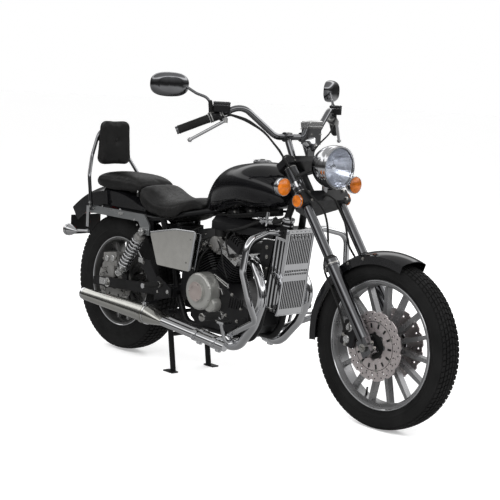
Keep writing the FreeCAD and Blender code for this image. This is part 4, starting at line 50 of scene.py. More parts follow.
def addNode(tree, kind, inputs=None, **values):
    # a node with these input values and properties
    item = tree.nodes.new(kind)
    for key, value in values.items():
        setattr(item, key, value)
    for key, value in (inputs or {}).items():
        item.inputs[key].default_value = value
    return item


def join(tree, source, target):
    tree.links.new(source, target)


def noiseOf(tree, coords, scale, detail=3.0, stretch=None):
    noise = addNode(tree, "ShaderNodeTexNoise", {"Scale": scale, "Detail": detail})
    if stretch:
        mapping = addNode(tree, "ShaderNodeMapping", {"Scale": stretch})
        join(tree, coords, mapping.inputs["Vector"])
        coords = mapping.outputs["Vector"]
    join(tree, coords, noise.inputs["Vector"])
    return noise.outputs["Fac"]


def rangeOf(tree, source, low, high, start=0.3, end=0.7):
    inputs = {"From Min": start, "From Max": end, "To Min": low, "To Max": high}
    spread = addNode(tree, "ShaderNodeMapRange", inputs)
    join(tree, source, spread.inputs["Value"])
    return spread.outputs["Result"]


def rampOf(tree, source, stops):
    # a colour ramp with these (position, colour) stops
    ramp = addNode(tree, "ShaderNodeValToRGB")
    elements = ramp.color_ramp.elements
    for element, (position, colour) in zip(elements, (stops[0], stops[-1])):
        element.position = position
        element.color = (*colour, 1)
    for position, colour in stops[1:-1]:
        elements.new(position).color = (*colour, 1)
    join(tree, source, ramp.inputs["Fac"])
    return ramp.outputs["Color"]


def bumpOf(tree, height, distance, strength, under=None):
    bump = addNode(tree, "ShaderNodeBump", {"Distance": distance, "Strength": strength})
    join(tree, height, bump.inputs["Height"])
    if under:
        join(tree, under, bump.inputs["Normal"])
    return bump.outputs["Normal"]


def makeFinish(name, tone, rough, metal=0.0, drift=0.25, driftScale=14, grainScale=600, grainDepth=0.03,
               grainStrength=0.3, stretch=None, edgeRound=0.0, coat=0.0, clear=0.0, dust=0.0, cells=0.0, wave=0.0,
               ior=1.5, shine=0.5):
    # tone is the base colour, rough the low and high roughness, grainDepth the depth of the grain in millimetres
    finish = bpy.data.materials.new(name)
    finish.use_nodes = True
    tree = finish.node_tree
    shader = tree.nodes["Principled BSDF"]
    coords = addNode(tree, "ShaderNodeTexCoord").outputs["Object"]
    dark = [c * (1 - drift) for c in tone]
    pale = [min(1, c * (1 + drift) + dust) for c in tone]
    slow = noiseOf(tree, coords, driftScale, 4.0)
    colour = rampOf(tree, slow, ((grain["rampLow"], dark), (grain["rampHigh"], pale)))
    join(tree, colour, shader.inputs["Base Color"])
    patches = noiseOf(tree, coords, driftScale * grain["patchScale"], 5.0, stretch)
    join(tree, rangeOf(tree, patches, *rough), shader.inputs["Roughness"])
    under = None
    if edgeRound:
        rounding = addNode(tree, "ShaderNodeBevel", {"Radius": edgeRound / 1000}, samples=grain["roundSamples"])
        under = rounding.outputs["Normal"]
    if wave:
        swell = noiseOf(tree, coords, grain["swellScale"], 1.0)
        under = bumpOf(tree, swell, wave / 1000, 1.0, under)
    if cells:
        hide = addNode(tree, "ShaderNodeTexVoronoi", {"Scale": cells}, feature="DISTANCE_TO_EDGE")
        join(tree, coords, hide.inputs["Vector"])
        crease = rangeOf(tree, hide.outputs["Distance"], 0.0, 1.0, 0.0, grain["creaseWidth"])
        under = bumpOf(tree, crease, grainDepth / 1000 * grain["creaseDepth"], grain["creaseStrength"], under)
    fine = noiseOf(tree, coords, grainScale, 2.0, stretch)
    join(tree, bumpOf(tree, fine, grainDepth / 1000, grainStrength, under), shader.inputs["Normal"])
    for socket, value in (("Metallic", metal), ("Coat Weight", coat), ("Coat Roughness", grain["coatRough"]),
                          ("Transmission Weight", clear), ("IOR", ior), ("Specular IOR Level", shine)):
        shader.inputs[socket].default_value = value
    finish.diffuse_color = (*tone, 1)
    return finish


finishTable = {
    "glossBlack": ("gloss black paint", (0.0035, 0.0035, 0.004), (0.08, 0.13), dict(
        coat=1.0, drift=0.3, grainScale=900, grainDepth=0.004, wave=0.03, shine=0.0)),
    "satinBlack": ("satin black powder coat", (0.006, 0.006, 0.0065), (0.30, 0.42), dict(
        shine=0.3, grainScale=1400, grainDepth=0.02, grainStrength=0.5, edgeRound=1.0)),
    "engineBlack": ("black engine paint", (0.006, 0.006, 0.0065), (0.34, 0.50), dict(
        shine=0.3, grainScale=900, grainDepth=0.06, grainStrength=0.6, edgeRound=1.0, dust=0.002)),
    "chrome": ("polished chrome", (0.73, 0.735, 0.75), (0.04, 0.09), dict(
        metal=1.0, drift=0.04, grainDepth=0.002, wave=0.012)),
    # chrome with its tone lowered: a painted dark reflection on the handlebar, mirror shells and sissy bar
    "chromePaintedDark": ("chrome darkened as painted dark reflection", (0.26, 0.262, 0.272), (0.05, 0.11), dict(
        metal=1.0, drift=0.08, grainDepth=0.003, wave=0.02)),
    "castSilver": ("cast silver paint", (0.46, 0.46, 0.452), (0.30, 0.42), dict(
        metal=0.8, drift=0.07, grainScale=1100, grainDepth=0.035, grainStrength=0.6, edgeRound=1.2)),
    # fork steel with its tone lowered: a painted dark reflection on the stanchions and legs
    "forkSteelPaintedDark": ("fork steel darkened as painted dark reflection", (0.20, 0.202, 0.21), (0.09, 0.17), dict(
        metal=1.0, drift=0.08, grainScale=260, grainDepth=0.006, stretch=(1, 1, 0.15))),
    "strutGrey": ("satin grey steel", (0.33, 0.34, 0.345), (0.26, 0.36), dict(
        metal=0.9, drift=0.08, grainScale=420, grainDepth=0.012, stretch=(0.12, 1, 1), edgeRound=1.0)),
    "wheelSilver": ("cast wheel silver", (0.27, 0.27, 0.275), (0.24, 0.34), dict(
        metal=0.85, drift=0.1, grainScale=900, grainDepth=0.01)),
    "tyreRubber": ("tyre rubber", (0.006, 0.006, 0.006), (0.60, 0.80), dict(
        drift=0.25, driftScale=9, grainScale=700, grainDepth=0.08, grainStrength=0.5, dust=0.001, shine=0.2)),
    "rubberBlack": ("black rubber", (0.010, 0.010, 0.010), (0.48, 0.62), dict(
        grainScale=900, grainDepth=0.03, edgeRound=0.8, shine=0.3)),
    "blackPlastic": ("moulded black plastic", (0.006, 0.006, 0.0065), (0.30, 0.42), dict(
        shine=0.3, grainScale=1600, grainDepth=0.03, grainStrength=0.5, edgeRound=0.8)),
    "leatherBlack": ("black seat leather", (0.0065, 0.0063, 0.0062), (0.36, 0.52), dict(
        drift=0.3, driftScale=20, grainScale=1500, grainDepth=0.09, grainStrength=0.4, cells=520, shine=0.28)),
    "amberLens": ("amber lens", (0.60, 0.155, 0.008), (0.07, 0.12), dict(
        drift=0.3, driftScale=60, clear=0.3, coat=0.5, grainDepth=0.06, cells=170, ior=1.49)),
    "redLens": ("red lens", (0.50, 0.008, 0.008), (0.05, 0.10), dict(
        drift=0.15, clear=0.3, coat=0.6, grainDepth=0.02, cells=190, ior=1.49)),
    "clearLens": ("clear lens", (0.84, 0.86, 0.90), (0.16, 0.24), dict(
        drift=0.03, clear=1.0, grainDepth=0.002, wave=0.02, ior=1.3)),
    "discSteel": ("brake disc steel", (0.66, 0.60, 0.595), (0.24, 0.34), dict(
        metal=0.9, drift=0.06, grainScale=500, grainDepth=0.006)),
    # mirror glass with its tone lowered: a painted dark reflection in the mirror faces
    "mirrorGlass": ("mirror glass dimmed as painted dark reflection", (0.34, 0.35, 0.37), (0.0, 0.015), dict(
        metal=1.0, drift=0.02, grainDepth=0.001)),
    "linkSteel": ("oiled chain steel", (0.16, 0.15, 0.135), (0.28, 0.46), dict(
        metal=0.95, drift=0.3, driftScale=60, grainScale=900, grainDepth=0.03)),
    "boltSteel": ("plated bolt steel", (0.50, 0.49, 0.47), (0.18, 0.30), dict(
        metal=1.0, drift=0.12, grainDepth=0.01)),
    "capPink": ("brushed cap", (0.54, 0.47, 0.445), (0.34, 0.44), dict(
        metal=0.8, drift=0.06, grainScale=800, grainDepth=0.02)),
    "coverGrey": ("satin cover", (0.50, 0.50, 0.475), (0.30, 0.40), dict(
        metal=0.8, drift=0.07, grainScale=1000, grainDepth=0.02, edgeRound=0.8)),
    "polishedAlloy": ("polished alloy", (0.62, 0.62, 0.615), (0.16, 0.26), dict(
        metal=0.95, drift=0.06, grainDepth=0.01)),
    "dustySilver": ("dusty cast alloy", (0.27, 0.265, 0.255), (0.42, 0.58), dict(
        metal=0.7, drift=0.22, grainScale=700, grainDepth=0.05, dust=0.04)),
    "gaugeFace": ("gauge face", (0.012, 0.012, 0.013), (0.2, 0.3), dict(grainDepth=0.004)),
    "markWhite": ("gauge marks", (0.8, 0.8, 0.78), (0.3, 0.4), dict(grainDepth=0.004)),
    "reflector": ("lamp reflector", (0.52, 0.53, 0.56), (0.26, 0.36), dict(
        metal=0.95, drift=0.03, grainDepth=0.002)),
    "bulbGlass": ("bulb glass", (0.93, 0.95, 0.97), (0.0, 0.04), dict(
        drift=0.02, clear=0.9, grainDepth=0.002, ior=1.4)),
    "plateGrey": ("plain plate", (0.30, 0.30, 0.30), (0.35, 0.45), dict(drift=0.05, grainDepth=0.01)),
    "shroudGrey": ("fork shroud", (0.085, 0.086, 0.09), (0.16, 0.24), dict(metal=0.9, grainDepth=0.006)),
    # a darker copy of the amber lens: painted shade on the facets of the front lenses
    "amberRib": ("amber ribs darkened as painted facet shade", (0.26, 0.05, 0.004), (0.12, 0.2), dict(
        clear=0.2, coat=0.4, grainDepth=0.01, ior=1.49)),
    "wheelShade": ("shaded wheel silver", (0.13, 0.13, 0.128), (0.26, 0.36), dict(
        metal=0.85, grainDepth=0.008)),
    "exhaustChrome": ("exhaust chrome", (0.60, 0.595, 0.56), (0.15, 0.22), dict(
        metal=1.0, drift=0.05, grainDepth=0.003)),
    "coverChrome": ("cover chrome", (0.74, 0.73, 0.69), (0.10, 0.16), dict(
        metal=1.0, drift=0.03, grainDepth=0.002)),
    # black: the hub ends' own colour, and painted shade in the disc slots and holes
    "hubBlackAndHoleShade": ("black hub and painted hole shade", (0.006, 0.006, 0.006), (0.3, 0.4), dict(
        grainDepth=0.01, edgeRound=0.6, shine=0.25)),
}
finishes = {key: makeFinish(name, tone, rough, **more) for key, (name, tone, rough, more) in finishTable.items()}
print("finishes made:", len(finishes))

# Helpers for forms


def settle(form, name, body, finish, soft=0, softSteps=2, corner=32, merge=0.02):
    # closes doubles, turns the faces outwards and leaves the piece in the scene, in metres
    bmesh.ops.remove_doubles(form, verts=form.verts, dist=merge)
    bmesh.ops.recalc_face_normals(form, faces=form.faces)
    bmesh.ops.scale(form, vec=(0.001, 0.001, 0.001), verts=form.verts)
    limit = math.radians(corner)
    for edge in form.edges:
        edge.smooth = len(edge.link_faces) == 2 and edge.calc_face_angle(0) < limit
    for face in form.faces:
        face.smooth = True
    mesh = bpy.data.meshes.new(name)
    form.to_mesh(mesh)
    form.free()
    piece = bpy.data.objects.new(name, mesh)
    scene.collection.objects.link(piece)
    for entry in finish if isinstance(finish, tuple) else (finish,):
        mesh.materials.append(finishes[entry])
    if body:
        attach(piece, body)
    if soft:
        softenEdges(piece, soft, softSteps)
    return piece


def softenEdges(piece, width, segments):
    bevel = piece.modifiers.new("soft edges", "BEVEL")
    bevel.width = width / 1000
    bevel.segments = segments
    bevel.limit_method = "ANGLE"
    bevel.angle_limit = math.radians(35)
    bevel.harden_normals = False


def turned(degrees, axis="Y"):
    return Matrix.Rotation(math.radians(degrees), 4, axis)


def pointing(axis):
    # the turn that takes Z to this axis
    return Vector(axis).to_track_quat("Z", "Y").to_matrix().to_4x4()


def onSide(place, side):
    # a place given for the left, side 1, or its mirror place on the right
    return Vector((place[0], place[1] * side, place[2]))


def inSideView(degrees, radius=1):
    turn = math.radians(degrees)
    return Vector((math.cos(turn) * radius, 0, math.sin(turn) * radius))


def inFrontView(degrees, radius=1):
    turn = math.radians(degrees)
    return Vector((0, math.cos(turn) * radius, math.sin(turn) * radius))


def drum(form, start, end, radius, endRadius=None, segments=32, finish=0):
    # a cylinder or cone from start to end
    start = Vector(start)
    end = Vector(end)
    made = bmesh.ops.create_cone(form, cap_ends=True, segments=segments, radius1=radius,
                                 radius2=radius if endRadius is None else endRadius, depth=(end - start).length,
                                 matrix=Matrix.Translation((start + end) / 2) @ pointing(end - start))
    paintNew(made["verts"], finish)


def brick(form, size, centre, turn=None, finish=0):
    place = Matrix.Translation(Vector(centre)) @ (turn or Matrix())
    made = bmesh.ops.create_cube(form, size=1, matrix=place @ Matrix.Diagonal((*size, 1)))
    paintNew(made["verts"], finish)


def ball(form, centre, radius, squash, turn=None):
    place = Matrix.Translation(Vector(centre)) @ (turn or Matrix())
    bmesh.ops.create_uvsphere(form, u_segments=20, v_segments=10, radius=radius,
                              matrix=place @ Matrix.Diagonal((*squash, 1)))


def paintNew(verts, finish):
    if finish:
        for face in {f for v in verts for f in v.link_faces}:
            face.material_index = finish


def lathe(form, profile, base, axis, segments, finish=0):
    # profile: (distance along the axis, radius) pairs, closed to a ring if it starts and ends off the axis
    if min(profile[0][1], profile[-1][1]) > 0:
        profile = [*profile, profile[0]]
    spine = [form.verts.new((radius, 0, along)) for along, radius in profile]
    edges = [form.edges.new(pair) for pair in zip(spine, spine[1:])]
    made = bmesh.ops.spin(form, geom=spine + edges, axis=(0, 0, 1), cent=(0, 0, 0), angle=math.tau,
                          steps=segments, use_merge=True)
    verts = list({v for item in spine + edges + made["geom_last"] for v in
                  (item.verts if hasattr(item, "verts") else [item])})
    island = spread(verts)
    bmesh.ops.transform(form, matrix=Matrix.Translation(Vector(base)) @ pointing(axis), verts=island)
    paintNew(island, finish)


def spread(verts):
    # every vertex joined to these
    found = set(verts)
    front = list(verts)
    while front:
        vert = front.pop()
        for edge in vert.link_edges:
            other = edge.other_vert(vert)
            if other not in found:
                found.add(other)
                front.append(other)
    return list(found)


def ring(form, base, axis, inner, outer, height, segments=36, finish=0):
    lathe(form, [(0, inner), (0, outer), (height, outer), (height, inner)], base, axis, segments, finish)


def hexBolt(form, base, axis, across, height, finish=0):
    # a hexagon head on its washer
    axis = Vector(axis).normalized()
    base = Vector(base)
    seat = base + axis * 1.2
    drum(form, base, base + axis * 1.4, across * 0.72, segments=20, finish=finish)
    drum(form, seat, seat + axis * (height * 0.85), across * 0.577, segments=6, finish=finish)
    drum(form, seat + axis * (height * 0.85), seat + axis * height, across * 0.577, across * 0.48, segments=6,
         finish=finish)


def sideBolts(form, side, rows, finish=0):
    # bolts that face sideways: x, distance from the middle, z, width and height
    for x, y, z, across, height in rows:
        hexBolt(form, (x, side * y, z), (0, side, 0), across, height, finish)


def socketBolt(form, base, axis, radius, height, finish=0):
    low = height * 0.45
    profile = [(0, 0), (0, radius), (height * 0.85, radius), (height, radius * 0.86), (height, radius * 0.52),
               (low, radius * 0.5), (low, 0)]
    lathe(form, profile, base, axis, segments=12, finish=finish)


def bentTube(name, points, radius, finish="rubberBlack", resolution=10, order=3,
             sides=6):
    # a smooth tube on the frame whose control points are these, made a mesh with its ends closed
    curve = bpy.data.curves.new(name + "Line", "CURVE")
    curve.dimensions = "3D"
    spline = curve.splines.new("NURBS")
    spline.points.add(len(points) - 1)
    for point, place in zip(spline.points, points):
        point.co = (*place, 1)
    spline.order_u = order
    spline.use_endpoint_u = True
    curve.resolution_u = resolution
    curve.bevel_depth = radius
    curve.bevel_resolution = sides
    curve.use_fill_caps = True
    holder = bpy.data.objects.new(name + "Line", curve)
    scene.collection.objects.link(holder)
    bpy.context.view_layer.update()
    mesh = bpy.data.meshes.new_from_object(holder)
    form = bmesh.new()
    form.from_mesh(mesh)
    bpy.data.objects.remove(holder)
    bpy.data.meshes.remove(mesh)
    settle(form, name, "frame", finish)


# Places that many pieces share

axles = {"front": (807, 0, 316), "rear": (-753, 0, 319)}
fork = {"foot": (762.8, 283.3), "rake": 36.5, "legY": 94, "legAhead": 55}


def onFork(forward, side, up):
    # a place in the fork's own directions: ahead of the steering plane, across and up along it
    rake = math.radians(fork["rake"])
    x, z = fork["foot"]
    return Vector((x + forward * math.cos(rake) - up * math.sin(rake), side,
                   z + forward * math.sin(rake) + up * math.cos(rake)))


forkUp = (onFork(0, 0, 1) - onFork(0, 0, 0)).normalized()
forkAhead = (onFork(1, 0, 0) - onFork(0, 0, 0)).normalized()

# Finishes of the solid nodes


def shadingByAngle(limit):
    # smooth shading with sharp edges where faces meet at more than the limit
    group = bpy.data.node_groups.new("shadingByAngle", "GeometryNodeTree")
    group.interface.new_socket("Geometry", in_out="INPUT", socket_type="NodeSocketGeometry")
    group.interface.new_socket("Geometry", in_out="OUTPUT", socket_type="NodeSocketGeometry")
    start = group.nodes.new("NodeGroupInput")
    finish = group.nodes.new("NodeGroupOutput")
    faces = addNode(group, "GeometryNodeSetShadeSmooth", domain="FACE")
    edges = addNode(group, "GeometryNodeSetShadeSmooth", domain="EDGE")
    angle = addNode(group, "GeometryNodeInputMeshEdgeAngle")
    compare = addNode(group, "FunctionNodeCompare", data_type="FLOAT", operation="LESS_THAN")
    compare.inputs["B"].default_value = math.radians(limit)
    join(group, start.outputs[0], faces.inputs["Geometry"])
    join(group, faces.outputs["Geometry"], edges.inputs["Geometry"])
    join(group, angle.outputs["Unsigned Angle"], compare.inputs["A"])
    join(group, compare.outputs["Result"], edges.inputs["Shade Smooth"])
    join(group, edges.outputs["Geometry"], finish.inputs[0])
    return group


nodeFinish = {
    "glossBlack": "fuel_tank front_fender rear_fender",
    "satinBlack": "main_frame swingarm triple_clamps centre_stand side_stand hanger_plates front_calipers",
    "blackPlastic": "battery_box hand_controls plate_holder",
    "engineBlack": "engine_crankcase engine_cylinders radiator",
    "polishedAlloy": "cylinder_heads shock_absorbers",
    "coverGrey": "engine_covers",
    "dustySilver": "carburettor rear_brake_disc rear_caliper",
    "chrome": "radiator_grille exhaust_pipes crash_bars headlamp front_signals rear_signals shock_springs "
              "fuel_cap hand_levers foot_controls instrument_pod",
    "exhaustChrome": "silencers",
    # the handlebar, mirror shells and sissy bar take chrome darkened as a painted dark reflection
    "chromePaintedDark": "handlebar mirrors sissy_bar",
    "coverChrome": "side_covers",
    # the stanchions and legs take fork steel darkened as a painted dark reflection
    "forkSteelPaintedDark": "fork_stanchions fork_legs",
    "boltSteel": "front_axle rear_axle",
    "strutGrey": "fender_struts",
    "wheelSilver": "front_rim",
    "wheelShade": "rear_rim",
    "discSteel": "front_brake_discs",
    "linkSteel": "front_sprocket rear_sprocket drive_chain",
    "rubberBlack": "control_cables grips",
    "redLens": "tail_lamp",
    "amberLens": "front_amber_lenses rear_amber_lenses",
    "clearLens": "headlamp_lens",
    "tyreRubber": "front_tyre rear_tyre",
    "leatherBlack": "rider_seat pillion_seat backrest_pad",
}
angleShading = shadingByAngle(32)
for key, names in nodeFinish.items():
    for item in (nodes[name] for name in names.split()):
        item.data.materials.clear()
        item.data.materials.append(finishes[key])
        item.modifiers.new("weld", "WELD").merge_threshold = 0.000002
        item.modifiers.new("shading", "NODES").node_group = angleShading
print("solid nodes finished")

# Floor, light and camera

studio = {"floorRadius": 60000, "floorGlow": 0.36, "skySide": (0.74, 0.67, 0), "skySwing": (0.75, 1.25)}
skyBands = ((0.0, 0.22), (0.30, 0.36), (0.43, 0.52), (0.475, 0.06), (0.53, 0.04), (0.60, 0.15), (0.67, 0.26),
            (0.71, 1.5), (0.79, 1.7), (0.83, 0.50), (1.0, 0.42))
# place, target, width, height and power, in metres and watts
lamps = {"keyLight": ((2.2, -3.2, 3.4), (0, 0, 0.5), 2.4, 1.6, 150),
         "fillLight": ((-3.4, -3.0, 2.4), (0, 0, 0.5), 2.6, 1.8, 60),
         "rimLight": ((-1.5, 3.6, 2.8), (0, 0, 0.6), 3.0, 1.2, 90),
         "stripLight": ((4.6, -1.2, 1.6), (0.6, 0, 0.6), 0.35, 2.6, 40)}


def makeFloor():
    form = bmesh.new()
    bmesh.ops.create_circle(form, cap_ends=True, segments=96, radius=studio["floorRadius"])
    paper = bpy.data.materials.new("pale floor")
    paper.use_nodes = True
    tree = paper.node_tree
    shader = tree.nodes["Principled BSDF"]
    coords = addNode(tree, "ShaderNodeTexCoord").outputs["Object"]
    tones = ((0, (0.90, 0.90, 0.90)), (1, (0.93, 0.93, 0.93)))
    join(tree, rampOf(tree, noiseOf(tree, coords, 1.5), tones), shader.inputs["Base Color"])
    shader.inputs["Roughness"].default_value = 0.9
    shader.inputs["Emission Color"].default_value = (1, 1, 1, 1)
    shader.inputs["Emission Strength"].default_value = studio["floorGlow"]
    finishes["floor"] = paper
    floor = settle(form, "studioFloor", None, "floor")
    floor.visible_glossy = False


def makeWorld():
    # pure white for the camera, and for every other ray bands of light by height, a little brighter to one side
    world = bpy.data.worlds.new("studio")
    scene.world = world
    world.use_nodes = True
    tree = world.node_tree
    tree.nodes.clear()
    out = addNode(tree, "ShaderNodeOutputWorld")
    seen = addNode(tree, "ShaderNodeBackground", {"Color": (1, 1, 1, 1)})
    lit = addNode(tree, "ShaderNodeBackground")
    direction = addNode(tree, "ShaderNodeTexCoord").outputs["Generated"]
    parts = addNode(tree, "ShaderNodeSeparateXYZ")
    join(tree, direction, parts.inputs[0])
    height = rangeOf(tree, parts.outputs["Z"], 0, 1, -1, 1)
    bands = rampOf(tree, height, [(position, (shade,) * 3) for position, shade in skyBands])
    side = addNode(tree, "ShaderNodeVectorMath", {1: studio["skySide"]}, operation="DOT_PRODUCT")
    join(tree, direction, side.inputs[0])
    join(tree, bands, lit.inputs["Color"])
    join(tree, rangeOf(tree, side.outputs["Value"], *studio["skySwing"], -1, 1), lit.inputs["Strength"])
    choose = addNode(tree, "ShaderNodeMixShader")
    path = addNode(tree, "ShaderNodeLightPath")
    join(tree, path.outputs["Is Camera Ray"], choose.inputs["Fac"])
    join(tree, lit.outputs[0], choose.inputs[1])
    join(tree, seen.outputs[0], choose.inputs[2])
    join(tree, choose.outputs[0], out.inputs["Surface"])


def makeLamp(name, place, target, width, height, power):
    lamp = bpy.data.lights.new(name, "AREA")
    lamp.shape = "RECTANGLE"
    lamp.size = width
    lamp.size_y = height
    lamp.energy = power
    holder = bpy.data.objects.new(name, lamp)
    holder.visible_glossy = False
    place = Vector(place)
    holder.matrix_world = Matrix.Translation(place) @ pointing(place - Vector(target))
    scene.collection.objects.link(holder)


def makeCamera():
    # the photograph's view: lens, distance and turn were fitted to measured points of the object
    view = {"yaw": 47.155, "pitch": 7.668, "roll": 2.969, "distance": 5230.4, "target": (48.6, 0, 565.7),
            "lens": 92.07}
    yaw, pitch, roll = (math.radians(view[key]) for key in ("yaw", "pitch", "roll"))
    ahead = Vector((-math.sin(yaw) * math.cos(pitch), math.cos(yaw) * math.cos(pitch), -math.sin(pitch)))
    level = Vector((math.cos(yaw), math.sin(yaw), 0))
    raised = level.cross(ahead)
    right = level * math.cos(roll) + raised * math.sin(roll)
    up = raised * math.cos(roll) - level * math.sin(roll)
    lens = bpy.data.cameras.new("photoView")
    lens.lens = view["lens"]
    lens.sensor_width = 36
    lens.clip_end = 200
    camera = bpy.data.objects.new("photoView", lens)
    spot = (Vector(view["target"]) - ahead * view["distance"]) / 1000
    turn = Matrix((right, up, -ahead)).transposed().to_4x4()
    camera.matrix_world = Matrix.Translation(spot) @ turn
    scene.collection.objects.link(camera)
    scene.camera = camera


makeFloor()
makeWorld()
for name, row in lamps.items():
    makeLamp(name, *row)
makeCamera()
scene.view_settings.view_transform = "Standard"
print("studio ready")

# Tyres with block tread


def makeTyre(name, node, body, tyre):
    # the profile runs from bead to bead, and the blocks are inset and raised one by one
    form = bmesh.new()
    half = [(-y, r) for y, r in reversed(tyre["side"])]
    bead, low = tyre["side"][-1]
    back = [(bead - 3, low - 2), (3 - bead, low - 2)]
    lathe(form, half + tyre["side"][1:] + back, (0, 0, 0), (0, 1, 0), tyre["steps"])
    bmesh.ops.remove_doubles(form, verts=form.verts, dist=0.01)
    bmesh.ops.recalc_face_normals(form, faces=form.faces)
    step = math.tau / tyre["steps"]
    for vert in form.verts:
        if math.hypot(vert.co.x, vert.co.z) > tyre["treadFrom"]:
            slant = tyre["chevron"] * step * abs(vert.co.y) / tyre["treadHalf"]
            vert.co = Matrix.Rotation(slant, 3, "Y") @ vert.co
    tread = []
    for face in form.faces:
        x, y, z = face.calc_center_median()
        if abs(y) < tyre["treadHalf"] and math.hypot(x, z) > tyre["treadFrom"]:
            tread.append(face)
    for thickness, depth in ((tyre["groove"], 0), (tyre["edge"], tyre["blockHeight"])):
        bmesh.ops.inset_individual(form, faces=tread, thickness=thickness, depth=depth, use_even_offset=True)
    bmesh.ops.translate(form, vec=tyre["centre"], verts=form.verts)
    piece = settle(form, name, body, "tyreRubber", corner=28)
    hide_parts(node)


makeTyre("frontTyreTread", "front_tyre", "front_wheel", {
    "side": [(0, 310), (15, 309.5), (30, 307.4), (45, 303.4), (48.6, 299.5), (50.8, 291), (51.8, 281),
             (51.4, 272), (50.4, 266), (51.2, 265), (50.9, 262), (49.2, 259.5), (46.2, 253.5), (42.5, 248.8),
             (38.5, 245.6), (35.2, 243.2), (34.6, 240)],
    "steps": 92, "treadFrom": 302, "treadHalf": 45.2, "chevron": 0.9, "groove": 1.7, "edge": 0.5,
    "blockHeight": 5.2, "centre": axles["front"]})
makeTyre("rearTyreTread", "rear_tyre", "rear_wheel", {
    "side": [(0, 307.2), (21, 306.4), (42, 302.6), (60, 296), (66, 287.5), (69.4, 275), (70.8, 259), (70.2, 247),
             (69, 240), (69.9, 238.6), (69.5, 235), (67.6, 231.5), (64, 222), (59.4, 213.4), (55.4, 208.6),
             (52.8, 206), (51.8, 202)],
    "steps": 84, "treadFrom": 293, "treadHalf": 60.5, "chevron": 0.9, "groove": 2.1, "edge": 0.5,
    "blockHeight": 5.2, "centre": axles["rear"]})
print("tyres made")

# Wheel trim: polished lips and valves


def makeWheelTrim(name, body, wheel):
    form = bmesh.new()
    lip = wheel["lip"]
    profile = [(0, lip - 2.2), (0, lip), (1.6, lip + 0.6), (2.6, lip - 0.6), (2.6, lip - 3), (1, lip - 4.6)]
    centre = Vector(wheel["centre"])
    for side in (-1, 1):
        lathe(form, profile, centre + Vector((0, side * wheel["halfWidth"], 0)), (0, side, 0), 96)
    settle(form, name, body, "chrome")
    form = bmesh.new()
    ahead = inSideView(wheel["valveAt"])
    seat = centre + ahead * (lip - 16)
    foot = seat - ahead * 30 + Vector((0, -9, 0))
    drum(form, seat, foot, 4.6, 3.6, segments=12)
    drum(form, foot, foot - ahead * 9 + Vector((0, -2.6, 0)), 3.9, segments=12, finish=1)
    settle(form, name + "Valve", body, ("rubberBlack", "boltSteel"))


makeWheelTrim("frontRimLips", "front_wheel", {"centre": axles["front"], "halfWidth": 35.8, "lip": 240.6,
                                              "valveAt": 250})
makeWheelTrim("rearRimLips", "rear_wheel", {"centre": axles["rear"], "halfWidth": 52.8, "lip": 202.6,
                                            "valveAt": 285})

# Seats and backrest: leather forms blown up by cloth simulation, then seamed

seatPads = {
    "riderSeatCushion": {"node": "rider_seat", "start": 5, "voxel": 6.0, "cap": 6, "pressure": 4,
                         "seam": 0.46, "seamWidth": 0.07, "seamDepth": 2.6, "ribs": (0.02, 0.40), "ribPitch": 15,
                         "ribDepth": 1.1},
    "pillionSeatCushion": {"node": "pillion_seat", "start": 5, "voxel": 6.0, "cap": 6, "pressure": 4,
                           "seam": 0.40, "seamWidth": 0.07, "seamDepth": 2.4, "ribs": None},
    "backrestCushion": {"node": "backrest_pad", "start": 3, "voxel": 4.2, "cap": 4, "pressure": 4,
                        "seam": 0.50, "seamWidth": 0.09, "seamDepth": 1.6, "ribs": None},
}
button = {"place": (-886.5, 0, 948), "dent": 7.0, "dentWidth": 0.020}
inflation = {"frames": 20, "quality": 4, "merge": 0.00001}


def meshOf(piece):
    graph = bpy.context.evaluated_depsgraph_get()
    return bpy.data.meshes.new_from_object(piece.evaluated_get(graph))


def swollenMesh(name, pad):
    # the closed leather skin: a smaller copy of the solid, remeshed, inflated and capped
    form = bmesh.new()
    form.from_mesh(nodes[pad["node"]].data)
    bmesh.ops.remove_doubles(form, verts=form.verts, dist=inflation["merge"])
    form.normal_update()
    for vert in form.verts:
        vert.co -= vert.normal * pad["start"] / 1000
    mesh = bpy.data.meshes.new(name + "Start")
    form.to_mesh(mesh)
    form.free()
    start = bpy.data.objects.new(name + "Start", mesh)
    scene.collection.objects.link(start)
    remesh = start.modifiers.new("even skin", "REMESH")
    remesh.mode = "VOXEL"
    remesh.voxel_size = pad["voxel"] / 1000
    bpy.context.view_layer.update()
    even = meshOf(start)
    bpy.data.objects.remove(start)
    skin = bpy.data.objects.new(name + "Skin", even)
    scene.collection.objects.link(skin)
    rest = [v.co.copy() for v in even.vertices]
    cloth = skin.modifiers.new("leather", "CLOTH")
    cloth.settings.use_pressure = True
    cloth.settings.uniform_pressure_force = pad["pressure"]
    cloth.settings.effector_weights.gravity = 0
    cloth.settings.quality = inflation["quality"]
    cloth.point_cache.frame_start = 1
    cloth.point_cache.frame_end = inflation["frames"]
    for step in range(1, inflation["frames"] + 1):
        scene.frame_set(step)
    blown = meshOf(skin)
    bpy.data.objects.remove(skin)
    scene.frame_set(1)
    for vert, place in zip(blown.vertices, rest):
        move = vert.co - place
        if move.length > pad["cap"] / 1000:
            vert.co = place + move.normalized() * pad["cap"] / 1000
    return blown


def seamHeight(name, pad, place, normal, low):
    # how far the leather lies above its blown-up form here, in millimetres: seams, ribs and the button's dent
    if name.startswith("backrest"):
        height = -pad["seamDepth"] * math.exp(-((abs(normal.x) - pad["seam"]) / pad["seamWidth"]) ** 2)
        if normal.x > 0.5:
            away = math.hypot(place.y, place.z - button["place"][2] / 1000)
            height -= button["dent"] * math.exp(-(away / button["dentWidth"]) ** 2)
        return height
    if place.z < low + 0.012:
        return 0
    height = -pad["seamDepth"] * math.exp(-((normal.z - pad["seam"]) / pad["seamWidth"]) ** 2)
    if pad["ribs"] and pad["ribs"][0] < normal.z < pad["ribs"][1]:
        height -= pad["ribDepth"] * (0.5 + 0.5 * math.cos(math.tau * place.x * 1000 / pad["ribPitch"]))
    return height


